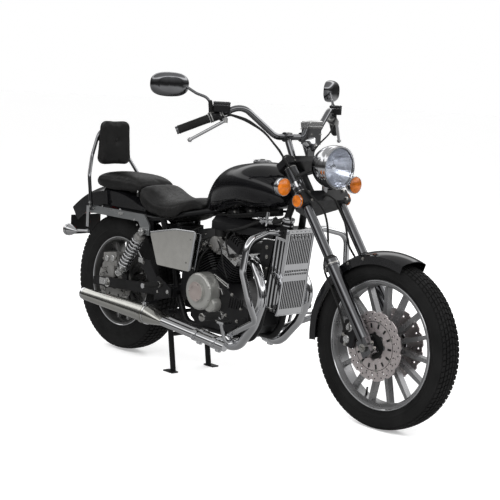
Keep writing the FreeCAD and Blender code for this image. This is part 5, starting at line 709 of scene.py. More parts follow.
def makeCushion(name, pad):
    mesh = swollenMesh(name, pad)
    form = bmesh.new()
    form.from_mesh(mesh)
    bmesh.ops.smooth_vert(form, verts=form.verts, factor=0.5, use_axis_x=True, use_axis_y=True, use_axis_z=True)
    form.normal_update()
    low = min(v.co.z for v in form.verts)
    for vert in form.verts:
        vert.co += vert.normal * seamHeight(name, pad, vert.co, vert.normal, low) / 1000
    form.to_mesh(mesh)
    form.free()
    mesh.name = name
    for face in mesh.polygons:
        face.use_smooth = True
    piece = bpy.data.objects.new(name, mesh)
    scene.collection.objects.link(piece)
    mesh.materials.clear()
    mesh.materials.append(finishes["leatherBlack"])
    smooth = piece.modifiers.new("smooth form", "SUBSURF")
    smooth.levels = 1
    smooth.render_levels = 1
    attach(piece, "frame")
    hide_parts(pad["node"])


for name, pad in seatPads.items():
    makeCushion(name, pad)
    print("cushion:", name)

form = bmesh.new()
lathe(form, [(0, 0), (0, 9), (2.2, 8.6), (3.6, 6.2), (4.2, 0)], button["place"], (1, 0, 0), 24)
settle(form, "backrestButton", "frame", "leatherBlack")

# Headlamp: fluted glass, reflector, bulb and trim ring

headlamp = {"z": 943, "glassRadii": (0, 16, 32, 48, 62, 72, 77), "innerRadii": (75, 72, 62, 48, 32, 16, 0),
            "glassThick": 3.2, "bowlRadii": (13, 22, 32, 42, 52, 62, 68, 73), "bowlThick": 1.6}


def makeHeadlamp():
    def at(x):
        return Vector((x, 0, headlamp["z"]))

    glass = bmesh.new()
    dome = [(34.6 - 13.2 * (r / 77) ** 2, r) for r in headlamp["glassRadii"]]
    dome += [(34.6 - 13.2 * (r / 77) ** 2 - headlamp["glassThick"], r) for r in headlamp["innerRadii"]]
    lathe(glass, dome, at(500), (1, 0, 0), 72)
    piece = settle(glass, "headlampGlass", "fork", "clearLens", corner=50)
    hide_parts("headlamp_lens")
    bowl = bmesh.new()
    shell = [(40 + 76 * (r / 73) ** 2, r) for r in headlamp["bowlRadii"]]
    shell += [(x - headlamp["bowlThick"], r + headlamp["bowlThick"] / 2) for x, r in reversed(shell)]
    lathe(bowl, shell, at(400), (1, 0, 0), 72)
    settle(bowl, "headlampReflector", "fork", "reflector")
    bulb = bmesh.new()
    lathe(bulb, [(0, 0), (0, 11), (14, 11), (16, 8), (16, 0)], at(436), (1, 0, 0), 24, finish=1)
    lathe(bulb, [(0, 0), (0, 6.5), (22, 6.5), (28, 5), (30.5, 2.4), (31, 0)], at(451), (1, 0, 0), 20)
    lathe(bulb, [(0, 0), (0, 9), (5, 12.5), (7, 12.5), (7.6, 11), (7.6, 0)], at(486), (1, 0, 0), 24, finish=1)
    for angle in (90, 210, 330):
        out = inFrontView(angle)
        drum(bulb, at(489) + out * 12, at(483) + out * 55, 1.1, segments=8, finish=1)
    settle(bulb, "headlampBulb", "fork", ("bulbGlass", "chrome"))
    trimRing = bmesh.new()
    trim = [(0, 82.3), (9, 83.2), (15, 82.6), (17.5, 80), (17, 77.6), (14, 76.4), (12, 77.8), (3, 79)]
    lathe(trimRing, trim, at(507), (1, 0, 0), 96)
    for angle in (40, 140, 270):
        socketBolt(trimRing, at(513) + inFrontView(angle, 83), inFrontView(angle), 2.6, 2)
    settle(trimRing, "headlampTrimRing", "fork", "chrome")


makeHeadlamp()
print("headlamp made")

# Grips with ribbed rubber

gripLine = {"end": (72, 436, 1050), "ahead": (0.5635, 0.7266, 0.3930), "ribs": 27, "ribPitch": 4.0}


def onBar(distance, side):
    # a place on the straight part of the bar, side -1 is the rider's right
    x, y, z = gripLine["end"]
    ahead, inward, up = gripLine["ahead"]
    return Vector((x + ahead * distance, side * (y - inward * distance), z + up * distance))


def barAhead(side):
    return (onBar(1, side) - onBar(0, side)).normalized()


def makeGrips():
    form = bmesh.new()
    profile = [(9.3, 12.3), (9.3, 15.4), (10.6, 17), (15, 17)]
    for step in range(gripLine["ribs"]):
        start = 16 + step * gripLine["ribPitch"]
        profile += [(start, 15.7), (start + 1.2, 15.7), (start + 1.6, 16.7), (start + 3.4, 16.7)]
    profile += [(125, 15.7), (126.5, 17), (131.5, 17), (133.2, 15.6), (133.2, 12.3)]
    for side in (-1, 1):
        lathe(form, profile, onBar(0, side), barAhead(side), 26)
    piece = settle(form, "gripRubbers", "fork", "rubberBlack")
    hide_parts("grips")


makeGrips()

# Hand controls: lids, clamps, switches and lever bolts

controls = {"reservoir": (186.14, 311.5, 1147.2), "heading": 37.8, "pivot": (203.3, 304.4, 1098.3),
            "bands": ((134.4, 137, 20.4), (142, 147, 20.6), (178, 183, 20.6), (186, 190.5, 20.2)),
            "buttons": ((150, 17, 5, 7, 1), (163, 17, 4, 6, 0), (172, 16, 3.4, 5, 1))}


def makeControls():
    lids = bmesh.new()
    clamps = bmesh.new()
    switches = bmesh.new()
    face = Vector((-0.55, 0, 0.2)).normalized()
    for side in (-1, 1):
        turn = turned(controls["heading"] * side, "Z")
        middle = onSide(controls["reservoir"], side)
        for size, lift in (((46, 64, 5), 17.2), ((38, 56, 1.6), 20.2), ((45, 63, 2.4), 8)):
            brick(lids, size, middle + Vector((0, 0, lift)), turn)
        for ahead, across in ((17, 26), (-17, 26), (17, -26), (-17, -26)):
            spot = middle + turn.to_3x3() @ Vector((ahead, across, 19.7))
            socketBolt(lids, spot, (0, 0, 1), 2.9, 2.2)
        ahead = barAhead(side)
        for start, end, radius in controls["bands"]:
            wide = end - start
            lathe(clamps, [(0, 12.2), (0, radius - 1), (1, radius), (wide - 1, radius), (wide, radius - 1),
                           (wide, 12.2)], onBar(start, side), ahead, 32)
        low = ahead.cross(Vector((0, 0, 1))).normalized() * (-side)
        for along in (150, 176):
            spot = onBar(along, side) + Vector((0, 0, -6)) - low * 18
            hexBolt(clamps, spot, -low, across=8, height=4.5)
        spot = onSide(controls["pivot"], side)
        drum(clamps, spot - Vector((0, 0, 9)), spot + Vector((0, 0, 9)), 8.5, segments=24)
        hexBolt(clamps, spot + Vector((0, 0, 9)), (0, 0, 1), across=9, height=4)
        for along, reach, radius, height, finish in controls["buttons"]:
            lathe(switches, [(0, 0), (0, radius), (height * 0.8, radius), (height, radius * 0.8), (height, 0)],
                  onBar(along, side) + face * reach, face, 16, finish=finish)
    settle(lids, "reservoirLids", "fork", "chrome", soft=1.2)
    settle(clamps, "controlClamps", "fork", "castSilver")
    settle(switches, "switchButtons", "fork", ("blackPlastic", "redLens"))


makeControls()
print("grips and controls made")

# Mirrors: glass, rim and boots on the stalks

mirror = {"centre": (36, 445, 1223), "half": (75, 46), "turn": 26, "set": -14.6,
          "boot": ((153.3, 331.2, 1121.9), (144, 337, 1178)), "bootRibs": 8, "bootPitch": 4.6, "power": 0.75,
          "segments": 56}


def roundedPlate(form, half, depth, finish=0):
    # a thin plate in the YZ plane whose outline is the mirror's, from x 0 back to -depth
    power = mirror["power"]
    made = bmesh.ops.create_circle(form, cap_ends=True, segments=mirror["segments"], radius=1,
                                   matrix=Matrix.Rotation(math.radians(90), 4, "Y"))
    for vert in made["verts"]:
        angle = math.atan2(vert.co.z, vert.co.y)
        vert.co.y = math.copysign(abs(math.cos(angle)) ** power, math.cos(angle)) * half[0]
        vert.co.z = math.copysign(abs(math.sin(angle)) ** power, math.sin(angle)) * half[1]
    faces = list({f for v in made["verts"] for f in v.link_faces})
    grown = bmesh.ops.extrude_face_region(form, geom=faces)
    moved = [item for item in grown["geom"] if isinstance(item, bmesh.types.BMVert)]
    bmesh.ops.translate(form, vec=(-depth, 0, 0), verts=moved)
    verts = made["verts"] + moved
    paintNew(verts, finish)
    return verts


def makeMirrors():
    glass = bmesh.new()
    boots = bmesh.new()
    wide, high = mirror["half"]
    profile = [(6, 5.6), (6, 12)]
    for step in range(mirror["bootRibs"]):
        start = 8 + step * mirror["bootPitch"]
        reach = 12 - step * 0.45
        profile += [(start, reach), (start + 1.4, reach - 1.4), (start + 3.0, reach - 1.4), (start + 3.6, reach)]
    profile += [(46, 8), (50, 6.4), (50, 5.6)]
    for side in (-1, 1):
        rim = roundedPlate(glass, (wide * 0.985, high * 0.985), 3.0, finish=1)
        face = roundedPlate(glass, (wide * 0.90, high * 0.88), 1.0)
        bmesh.ops.translate(glass, vec=(-3.0, 0, 0), verts=face)
        place = Matrix.Translation(onSide(mirror["centre"], side)) @ turned(mirror["turn"] * side, "Z")
        place = place @ Matrix.Translation(Vector((mirror["set"], 0, 0)))
        bmesh.ops.transform(glass, matrix=place, verts=rim + face)
        foot, top = (onSide(p, side) for p in mirror["boot"])
        lathe(boots, profile, foot, top - foot, 22)
        lathe(boots, [(-4, 5.6), (-4, 13), (0, 14), (5, 14), (6, 12.4), (6, 5.6)], foot, top - foot, 6, finish=1)
    # the mirror faces take glass dimmed as a painted dark reflection
    settle(glass, "mirrorGlasses", "fork", ("mirrorGlass", "blackPlastic"))
    settle(boots, "mirrorBoots", "fork", ("rubberBlack", "boltSteel"))


makeMirrors()
print("mirrors made")

# Instrument pod: lid, round gauge, key switch

pod = {"tilt": -8, "x": 362, "gauge": (392, -30, 1021), "gaugeFace": (-0.62, 0, 0.785), "key": (352, 24, 1030)}


def makePod():
    lid = bmesh.new()
    brick(lid, (54, 72, 26), (pod["x"], 0, 1096.5), turned(pod["tilt"]))
    settle(lid, "podLid", "fork", "polishedAlloy", soft=5, softSteps=3)
    band = bmesh.new()
    brick(band, (52.5, 70.5, 3), (pod["x"], 0, 1081.5), turned(pod["tilt"]))
    for across in (-24, 24):
        socketBolt(band, (388.5, across, 1060), (1, 0, 0), 3.4, 2.6)
    settle(band, "podSeam", "fork", "boltSteel")
    gauge = bmesh.new()
    face = Vector(pod["gaugeFace"]).normalized()
    back = Vector(pod["gauge"]) - face * 14
    lathe(gauge, [(0, 0), (0, 9), (6, 22), (20, 27), (25, 28), (28, 27.4), (28.4, 25.4), (26, 24.6), (24, 24.6),
                  (24, 0)], back, face, 48)
    lathe(gauge, [(24.2, 0), (24.2, 24.2), (24.9, 24.2), (24.9, 0)], back, face, 40, finish=1)
    lathe(gauge, [(25, 0), (25, 3.4), (27, 3), (27, 0)], back, face, 16, finish=2)
    drum(gauge, back, back - face * 12, 7, 9, segments=20, finish=1)
    across = Vector((0, 1, 0))
    for angle in range(0, 271, 27):
        turn = math.radians(angle - 45)
        out = across * math.cos(turn) + face.cross(across) * math.sin(turn)
        spot = back + face * 25.2
        drum(gauge, spot + out * 17, spot + out * 22, 0.7, segments=6, finish=3)
    settle(gauge, "roundGauge", "fork", ("chrome", "gaugeFace", "boltSteel", "markWhite"))
    bracket = bmesh.new()
    key = Vector(pod["key"])
    drum(bracket, (362, -26, 1030), (388, -30, 1016), 6, segments=16)
    drum(bracket, key - Vector((0, 0, 27)), key, 13, 12, segments=28)
    lathe(bracket, [(0, 0), (0, 10.5), (4, 10.5), (5, 9.6), (5, 0)], key, (0, 0, 1), 28, finish=1)
    brick(bracket, (10, 1.6, 0.8), key + Vector((0, 0, 5.3)), finish=2)
    settle(bracket, "keySwitch", "fork", ("blackPlastic", "boltSteel", "rubberBlack"))


makePod()
print("pod made")

# Engine: cover bolts and cap, ribs, caps, intake parts

engine = {"x": -93, "crankZ": 350, "lean": 27, "headFace": 74, "caseFace": 96.2, "ribFace": 99.4, "webFace": 97.5}
caseBolts = ((-170, 330), (-160, 430), (28, 300), (96, 286), (60, 390), (118, 340))
ribFans = (((-53, 458), (39, 426)), ((-36, 446), (33, 417)), ((-77, 432), (-9, 402)), ((-66, 420), (-24, 362)),
           ((-80, 424), (-58, 352)), ((33, 430), (40, 412)), ((-6, 405), (8, 380)))
webs = ((-128, 262, 26), (-30, 268, 30), (80, 262, 30), (140, 300, 22))


def onDeck(distance, wide, front, across=0):
    # a place in the plane of a leaning cylinder, 1 for the front one and -1 for the rear one
    lean = math.radians(engine["lean"]) * front
    return Vector((engine["x"] + distance * math.sin(lean) + wide * math.cos(lean), across,
                   engine["crankZ"] + distance * math.cos(lean) - wide * math.sin(lean)))


def coverBolts(form, centre, side, radius, count, shift=0):
    # bosses and socket bolts round an engine cover
    out = Vector((0, side, 0))
    for step in range(count):
        spot = Vector(centre) + inSideView(360 * (step + shift) / count, radius)
        drum(form, spot - out * 14, spot + out, 7.2, 6.4, segments=20)
        socketBolt(form, spot + out, out, 4.6, 4.5, finish=1)


def makeCoverTrim():
    form = bmesh.new()
    x = engine["x"]
    coverBolts(form, (x, -146.1, 383), -1, 70.5, 8, 0.5)
    lathe(form, [(0, 45), (1.2, 47.5), (2.4, 47.5), (3, 46), (3, 43.6), (0, 43.4)], (x, -154.3, 383),
          (0, -1, 0), 72)
    lathe(form, [(0, 0), (0, 41), (1.6, 40.2), (2.6, 36), (2.4, 30), (3.0, 29), (3.4, 0)], (x, -163.2, 383),
          (0, -1, 0), 72, finish=2)
    for angle in (60, 180, 300):
        socketBolt(form, Vector((x, -165.3, 383)) + inSideView(angle, 35.5), (0, -1, 0), 2.6, 1.6, finish=1)
    lathe(form, [(0, 0), (0, 34), (34, 33), (40, 29), (42, 20), (42, 0)], (-38, -97, 336), (0, -1, 0), 48)
    for up in (-15, -5, 5, 15):
        brick(form, (52, 3, 3), (-38, -139.6, 336 + up))
    hexBolt(form, (x, -96, 268), (0, -1, 0), across=17, height=9, finish=1)
    for side in (-1, 1):
        sideBolts(form, side, [(spot, engine["caseFace"], z, 10, 5) for spot, z in caseBolts], finish=1)
    settle(form, "engineCoverTrim", "frame", ("coverGrey", "boltSteel", "capPink"))
    left = bmesh.new()
    coverBolts(left, (x, 128, 350), 1, 67, 7)
    lathe(left, [(0, 0), (0, 40), (1.6, 39), (2.4, 34), (2.4, 0)], (x, 145, 350), (0, 1, 0), 64)
    settle(left, "generatorCoverTrim", "frame", ("coverGrey", "boltSteel"))


def makeRibs():
    # polished ribs that fan out over the sides of the crankcase, and the black webs below them
    form = bmesh.new()
    dark = bmesh.new()
    for side in (-1, 1):
        for start, end in ribFans:
            first = Vector((start[0], side * engine["ribFace"], start[1]))
            last = Vector((end[0], side * engine["ribFace"], end[1]))
            along = last - first
            rise = math.degrees(math.atan2(along.z, along.x))
            brick(form, (along.length, 7, 5), (first + last) / 2, turned(-rise))
        for x, z, size in webs:
            brick(dark, (size, 5, 12), (x, side * engine["webFace"], z))
        for step in range(6):
            brick(dark, (4, 6, 46), (48 + step * 15, side * engine["webFace"], 356), turned(12))
    settle(form, "crankcaseRibs", "frame", "polishedAlloy", soft=1.2)
    settle(dark, "crankcaseWebs", "frame", "engineBlack", soft=1.4)


def makeHeadTrim():
    form = bmesh.new()
    lean = engine["lean"]
    face = engine["headFace"]
    for front in (1, -1):
        turn = turned(lean * front)
        for side in (-1, 1):
            for wide in (-38, 38):
                hexBolt(form, onDeck(223, wide, front, side * face), (0, side, 0), across=11, height=6, finish=1)
            for wide in (-19, 0, 19):
                socketBolt(form, onDeck(208, wide, front, side * face), (0, side, 0), 3.4, 3.4, finish=1)
            for distance in (200.2, 246.2):
                brick(form, (110, 2, 2.4), onDeck(distance, 0, front, side * (face + 0.4)), turn)
        for step in range(5):
            wide = -32.8 + step * 14.4
            for across in (-52, 52):
                brick(form, (3.6, 26, 1.4), onDeck(291.6, wide, front, across), turn)
            brick(form, (3.6, 40, 1.2), onDeck(291.3, wide, front), turn)
        for across in (-50, 50):
            for end in (-1, 1):
                out = inSideView(-lean * front) * end
                socketBolt(form, onDeck(266, 40.8 * end, front, across) - out * 2, out, 4.2, 5, finish=1)
    settle(form, "headTrim", "frame", ("polishedAlloy", "boltSteel"))


hoses = ((4.5, ((-118, -82, 556), (-140, -104, 520), (-150, -104, 480), (-176, -92, 420), (-186, -70, 360))),
         (3.2, ((-70, -72, 590), (-20, -92, 560), (-8, -96, 500), (20, -92, 452))),
         (4.5, ((-120, -60, 600), (-160, -90, 590), (-200, -100, 560), (-230, -90, 500), (-236, -70, 430))),
         (4.5, ((-118, 82, 556), (-140, 104, 520), (-150, 104, 480), (-176, 92, 420), (-186, 70, 360))))


def makeIntake():
    form = bmesh.new()
    x = engine["x"]
    for side in (-1, 1):
        drum(form, (x, side * 38, 577), (x, side * 38, 533), 19, 16, segments=28)
        brick(form, (44, 34, 18), (x, side * 38, 547))
        lathe(form, [(0, 0), (0, 30), (3, 31), (5, 29.6), (7, 22), (9, 12), (9, 0)], (x, side * 66, 577),
              (0, side, 0), 40)
        for angle in (45, 135, 225, 315):
            spot = Vector((x, side * 70, 577)) + inSideView(angle, 25.5)
            socketBolt(form, spot, (0, side, 0), 2.6, 2.8, finish=1)
        drum(form, (x, side * 40, 590), (x, side * 40, 636), 22, 25, finish=2)
        ring(form, (x, side * 40, 600), (0, 0, 1), 22.6, 25, 7, 32, finish=1)
        brick(form, (30, 5, 14), (-118, side * 79, 560), turned(24), finish=1)
        drum(form, (-105, side * 74, 566), (-105, side * 84, 566), 8, segments=20, finish=1)
        hexBolt(form, (-105, side * 84, 566), (0, side, 0), across=8, height=4, finish=1)
    settle(form, "intakeParts", "frame", ("dustySilver", "boltSteel", "rubberBlack"))
    for index, (radius, line) in enumerate(hoses):
        bentTube("intakeHose%d" % index, line, radius, resolution=12)


# each lead's places are counted from its plug, on the middle plane
plug = {"distance": 226, "wide": 20,
        "cap": [(0, 0), (0, 9), (4, 10), (8, 8), (22, 7.4), (28, 6.4), (30, 4), (30, 0)]}
leads = {"plugLeadFront": (1, ((6, -100, 3), (12, -112, 16), (-10, -108, 60), (-30, -84, 90), (-42, -60, 96))),
         "plugLeadRear": (-1, ((-6, -100, 3), (-12, -112, 16), (4, -108, 60), (16, -84, 86), (26, -60, 92)))}


def makePlugLeads():
    caps = bmesh.new()
    seats = {front: onDeck(plug["distance"], plug["wide"] * front, front) for front in (1, -1)}
    for front, seat in seats.items():
        lathe(caps, plug["cap"], seat + Vector((0, -73, 0)), (0.25 * front, -1, 0.1), 20)
    settle(caps, "plugCaps", "frame", "rubberBlack")
    for name, (front, line) in leads.items():
        bentTube(name, [seats[front] + Vector(step) for step in line], 3.6)


tubes = {
    "tapHose": (6.2, ((178, -70, 702), (150, -68, 694), (96, -66, 672), (40, -70, 652), (-20, -64, 640),
                      (-60, -44, 634))),
    "coolantHose": (9, ((266, -82, 711), (286, -76, 714), (300, -62, 724), (306, -50, 716))),
}


def makeTap():
    # the bright tap and hose joints under the front of the tank
    form = bmesh.new()
    for start, end, radius, endRadius, segments in (
            ((196, -74, 706), (244, -80, 709), 8.5, 8.5, 24), ((218, -77, 706), (216, -68, 742), 6.5, 6.5, 20),
            ((226, -78, 707), (226, -84, 688), 6, 6, 18), ((178, -70, 702), (192, -73, 705), 6.5, 6.5, 20),
            ((250, -66, 716), (262, -66, 724), 9, 7, 6)):
        drum(form, start, end, radius, endRadius, segments)
    lathe(form, [(0, 0), (0, 15), (3, 16), (8, 16), (10, 14), (10, 0)], (192, -73.5, 706), (1, 0, 0), 32)
    lathe(form, [(0, 0), (0, 12), (6, 12), (8, 10), (12, 10), (12, 12), (20, 12), (22, 10), (22, 0)],
          (244, -80, 709), (1, -0.12, 0.06), 6)
    for x in (206, 232):
        hexBolt(form, (x, -84, 708), (0, -1, 0), across=13, height=9)
    ball(form, (182, -84, 716), 8, (1, 0.8, 0.8))
    settle(form, "fuelTap", "frame", "chrome")
    for name, (radius, line) in tubes.items():
        bentTube(name, line, radius, resolution=12)
    dots = bmesh.new()
    for x, z in ((222, 604), (224, 566), (226, 520)):
        for side in (-1, 1):
            drum(dots, (x, side * 69.6, z), (x, side * 72, z), 8, segments=20)
            socketBolt(dots, (x, side * 72, z), (0, side, 0), 4.4, 4)
    settle(dots, "panelBolts", "frame", "boltSteel")


makeCoverTrim()
makeRibs()
makeHeadTrim()
makeIntake()
makePlugLeads()
makeTap()
print("engine dressed")

# Radiator cover: louvres, side slats, cap

radiator = {"centre": (320, 513), "lean": 7.7, "neck": (-40, -42.6, 212)}


def onRadiator(forward, side, up):
    lean = math.radians(radiator["lean"])
    x, z = radiator["centre"]
    return Vector((x + forward * math.cos(lean) + up * math.sin(lean), side,
                   z - forward * math.sin(lean) + up * math.cos(lean)))


def makeRadiatorTrim():
    turn = turned(radiator["lean"])
    form = bmesh.new()
    bars = [((3, 128, 5), (0.6, 0, 0))]
    bars += [((3.2, 3.6, 350), (0.8, edge, 0)) for edge in (-68.6, 68.6)]
    bars += [((3.2, 140, 3.2), (0.8, 0, up)) for up in (-174, 174)]
    for side in (-1, 1):
        bars += [((9, 2.4, 290), (forward, side * 69.4, -16)) for forward in (-64, -44, -24, -6)]
        bars += [((66, 1.8, 12), (-36, side * 69, up)) for up in (-160, -16, 128)]
    bars += [((2.2, 13, 3), (1.4, across, 166)) for across in range(-48, 49, 24)]
    for size, place in bars:
        brick(form, size, onRadiator(*place), turn)
    settle(form, "radiatorSlats", "frame", "chrome", soft=1.0)
    scoops = bmesh.new()
    for across in range(-47, 49, 19):
        ball(scoops, onRadiator(-1, across, 140), 10, (0.5, 0.62, 1.5), turn @ Matrix.Rotation(0.35, 4, "X"))
    settle(scoops, "radiatorScoops", "frame", "chrome")
    cap = bmesh.new()
    neck = onRadiator(*radiator["neck"])
    up = (onRadiator(0, 0, 1) - onRadiator(0, 0, 0)).normalized()
    lathe(cap, [(-14, 21.3), (-14, 24), (-10, 25), (-2, 25), (1, 23.5), (1, 14), (4, 12), (5, 9), (5, 0),
                (-14, 0)], neck - up, up, 40)
    for side in (-1, 1):
        ear = neck - up * 7
        drum(cap, ear + Vector((0, side * 22, 0)), ear + Vector((0, side * 30, 0)), 6, 4.5, segments=14)
    ring(cap, neck - up * 30, up, 21.2, 24, 4)
    settle(cap, "radiatorCap", "frame", "chrome")


makeRadiatorTrim()
print("radiator dressed")

# Exhaust: clamp bolts, strap bolt, tips

exhaust = {"start": (125, 133.2, 182), "end": (-236, 187.2, 236), "silencerY": 187.2,
           "tip": [(0, 17.2), (2, 19), (4, 24), (2, 27.4), (-6, 28.2), (-14, 27.8), (-14, 26.4), (-4, 18)],
           "band": [(0, 41.4), (0, 43.4), (3, 43.8), (6, 43.4), (6, 41.4)]}


def makeExhaustTrim():
    form = bmesh.new()
    for side in (-1, 1):
        for share in (0.22, 0.50):
            x, y, z = (a + (b - a) * share for a, b in zip(exhaust["start"], exhaust["end"]))
            brick(form, (20, 12, 26), (x, side * y, z - 25), turned(8))
            for ahead in (1, -1):
                hexBolt(form, (x + 8 * ahead, side * y, z - 33), (ahead, 0, -0.15 * ahead), across=10, height=6)
            sideBolts(form, side, ((x, y + 43, z, 9, 4),))
        brick(form, (22, 16, 13), (-385, side * 187, 287))
        sideBolts(form, side, ((-385, 195, 288, 11, 6),))
        y = side * exhaust["silencerY"]
        lathe(form, exhaust["tip"], (-836, y, 259), (-1, 0, 0), 56)
        lathe(form, exhaust["band"], (-360, y, 243.8), (-1, 0, 0), 56)
    settle(form, "exhaustTrim", "frame", "chrome")


makeExhaustTrim()
print("exhaust dressed")

# Brake discs and hubs: slotted carriers and holes, whose openings are thin black pads of painted shade, and dark
# hub ends


def makeDiscTrim(name, body, disc):
    form = bmesh.new()
    centre = Vector(disc["centre"])
    for side in disc["sides"]:
        axis = Vector((0, side, 0))
        base = centre + axis * disc["face"]
        ring(form, base, axis, disc["ring"] - 2, disc["ring"], 0.5, 72, finish=1)
        # the slots and holes are thin black pads on the disc face: painted shade in the openings
        low, wide = disc["slotSize"]
        for step in range(disc["slots"]):
            angle = 360 * step / disc["slots"]
            brick(form, (low, 1.4, wide), base + inSideView(angle, disc["slotRadius"]), turned(-angle), finish=1)
        for radius, count, shift in disc["holes"]:
            for step in range(count):
                spot = base + inSideView(360 * (step + shift) / count, radius)
                drum(form, spot - axis * 0.4, spot + axis * 0.5, 2.8, segments=10, finish=1)
        for step in range(disc["buttons"]):
            spot = base + inSideView(360 * (step + 0.5) / disc["buttons"], disc["buttonRadius"])
            lathe(form, [(0, 0), (0, 6.2), (1.6, 6.2), (2, 5.4), (2, 3), (1, 2.6), (1, 0)], spot, axis, 14,
                  finish=2)
    settle(form, name, body, ("discSteel", "hubBlackAndHoleShade", "boltSteel"))


def makeHubEnd(name, body, hub):
    form = bmesh.new()
    for side in (-1, 1):
        axis = Vector((0, side, 0))
        base = Vector(hub["centre"]) + axis * hub["face"]
        lathe(form, hub["profile"], base, axis, 56)
        ring(form, base + axis * hub["profile"][-1][0], axis, hub["seal"] - 3, hub["seal"], 0.6, 48, finish=1)
    settle(form, name, body, ("hubBlackAndHoleShade", "boltSteel"))


makeDiscTrim("frontDiscTrim", "front_wheel", {
    "centre": axles["front"], "sides": (-1, 1), "face": 63.5, "ring": 92.2, "slots": 14, "slotRadius": 76,
    "slotSize": (17, 8), "holes": ((100, 24, 0.0), (119, 24, 0.5)), "buttons": 7, "buttonRadius": 90})
makeDiscTrim("rearDiscTrim", "rear_wheel", {
    "centre": axles["rear"], "sides": (-1,), "face": 82.3, "ring": 84.2, "slots": 12, "slotRadius": 69,
    "slotSize": (15, 8), "holes": ((92, 20, 0.0), (109, 20, 0.5)), "buttons": 6, "buttonRadius": 83})
makeHubEnd("frontHubEnds", "front_wheel", {
    "centre": axles["front"], "face": 63.6, "seal": 24,
    "profile": [(0, 16), (0, 46), (1, 47), (2, 45), (2.2, 36), (3, 34), (3, 16)]})
makeHubEnd("rearHubEnds", "rear_wheel", {
    "centre": axles["rear"], "face": 77.2, "seal": 26,
    "profile": [(0, 17), (0, 40), (3.2, 39), (5.2, 34), (5.6, 28), (5.6, 17)]})
print("discs dressed")

# Drive chain of separate links round both sprockets

chain = {"small": (-246, 352, 36), "large": (-753, 319, 88), "y": 84, "pitch": 15.875, "inner": 3.8, "outer": 5.4}


def chainRoute(distance, total, marks):
    # place and heading on the loop: arc of the large sprocket, lower run, arc of the small one, upper run
    distance %= total
    for start, length, kind, data in marks:
        if distance <= start + length:
            part = (distance - start) / length
            if kind == "line":
                first, last = data
                way = (last - first).normalized()
                return first + (last - first) * part, math.atan2(way.y, way.x)
            centre, radius, begin, sweep = data
            angle = begin + sweep * part
            spot = centre + Vector((math.cos(angle), math.sin(angle))) * radius
            return spot, angle + math.copysign(math.pi / 2, sweep)
    return marks[0][3][0], 0


def chainMarks():
    small = Vector(chain["small"][:2])
    large = Vector(chain["large"][:2])
    smallRadius = chain["small"][2]
    largeRadius = chain["large"][2]
    way = small - large
    heading = math.atan2(way.y, way.x)
    spare = math.acos((largeRadius - smallRadius) / way.length)
    upper = heading + spare
    lower = heading - spare

    def rim(centre, radius, angle):
        return centre + Vector((math.cos(angle), math.sin(angle))) * radius

    pieces = [("arc", (large, largeRadius, upper, math.tau - 2 * spare)),
              ("line", (rim(large, largeRadius, lower), rim(small, smallRadius, lower))),
              ("arc", (small, smallRadius, lower, 2 * spare)),
              ("line", (rim(small, smallRadius, upper), rim(large, largeRadius, upper)))]
    marks = []
    start = 0
    for kind, data in pieces:
        length = abs(data[1] * data[3]) if kind == "arc" else (data[1] - data[0]).length
        marks.append((start, length, kind, data))
        start += length
    return start, marks


def makeChain():
    total, marks = chainMarks()
    count = 2 * round(total / chain["pitch"] / 2)
    form = bmesh.new()
    for step in range(count):
        spot, heading = chainRoute((step + 0.5) * total / count, total, marks)
        first, _ = chainRoute(step * total / count, total, marks)
        turn = Matrix.Rotation(-heading, 4, "Y")
        reach = chain["outer"] if step % 2 else chain["inner"]
        for across in (-reach, reach):
            middle = Vector((spot.x, chain["y"] + across, spot.y))
            brick(form, (chain["pitch"] * 0.98, 1.4, 6.2), middle, turn)
            for end in (-0.5, 0.5):
                place = middle + turn.to_3x3() @ Vector((chain["pitch"] * end, 0, 0))
                bmesh.ops.create_cone(form, cap_ends=True, segments=8, radius1=5.6, radius2=5.6, depth=1.3,
                                      matrix=Matrix.Translation(place) @ turned(90, "X"))
        for half, radius, segments in ((6.8, 2.4, 6), (3, 4.4, 8)):
            drum(form, (first.x, chain["y"] - half, first.y), (first.x, chain["y"] + half, first.y), radius,
                 segments=segments, finish=1)
    piece = settle(form, "driveChainLinks", "frame", ("linkSteel", "boltSteel"), merge=0.001)
    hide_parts("drive_chain")


makeChain()
print("chain made")

# Shock caps, strut bolts, backrest brackets

shock = {"top": (-482, 143, 584), "foot": (-636, 143, 382), "eye": 11.4}
rearBolts = ((-666, 131.2, 640.5, 11, 6), (-650, 131.2, 640.5, 11, 6), (-882, 131.2, 640.5, 10, 5),
             (-866, 131.2, 640.5, 10, 5), (-873, 146.8, 650, 9, 4.5), (-873, 146.8, 668, 9, 4.5),
             (-753, 131.2, 319, 19, 7), (-306, 131.2, 345, 17, 7))


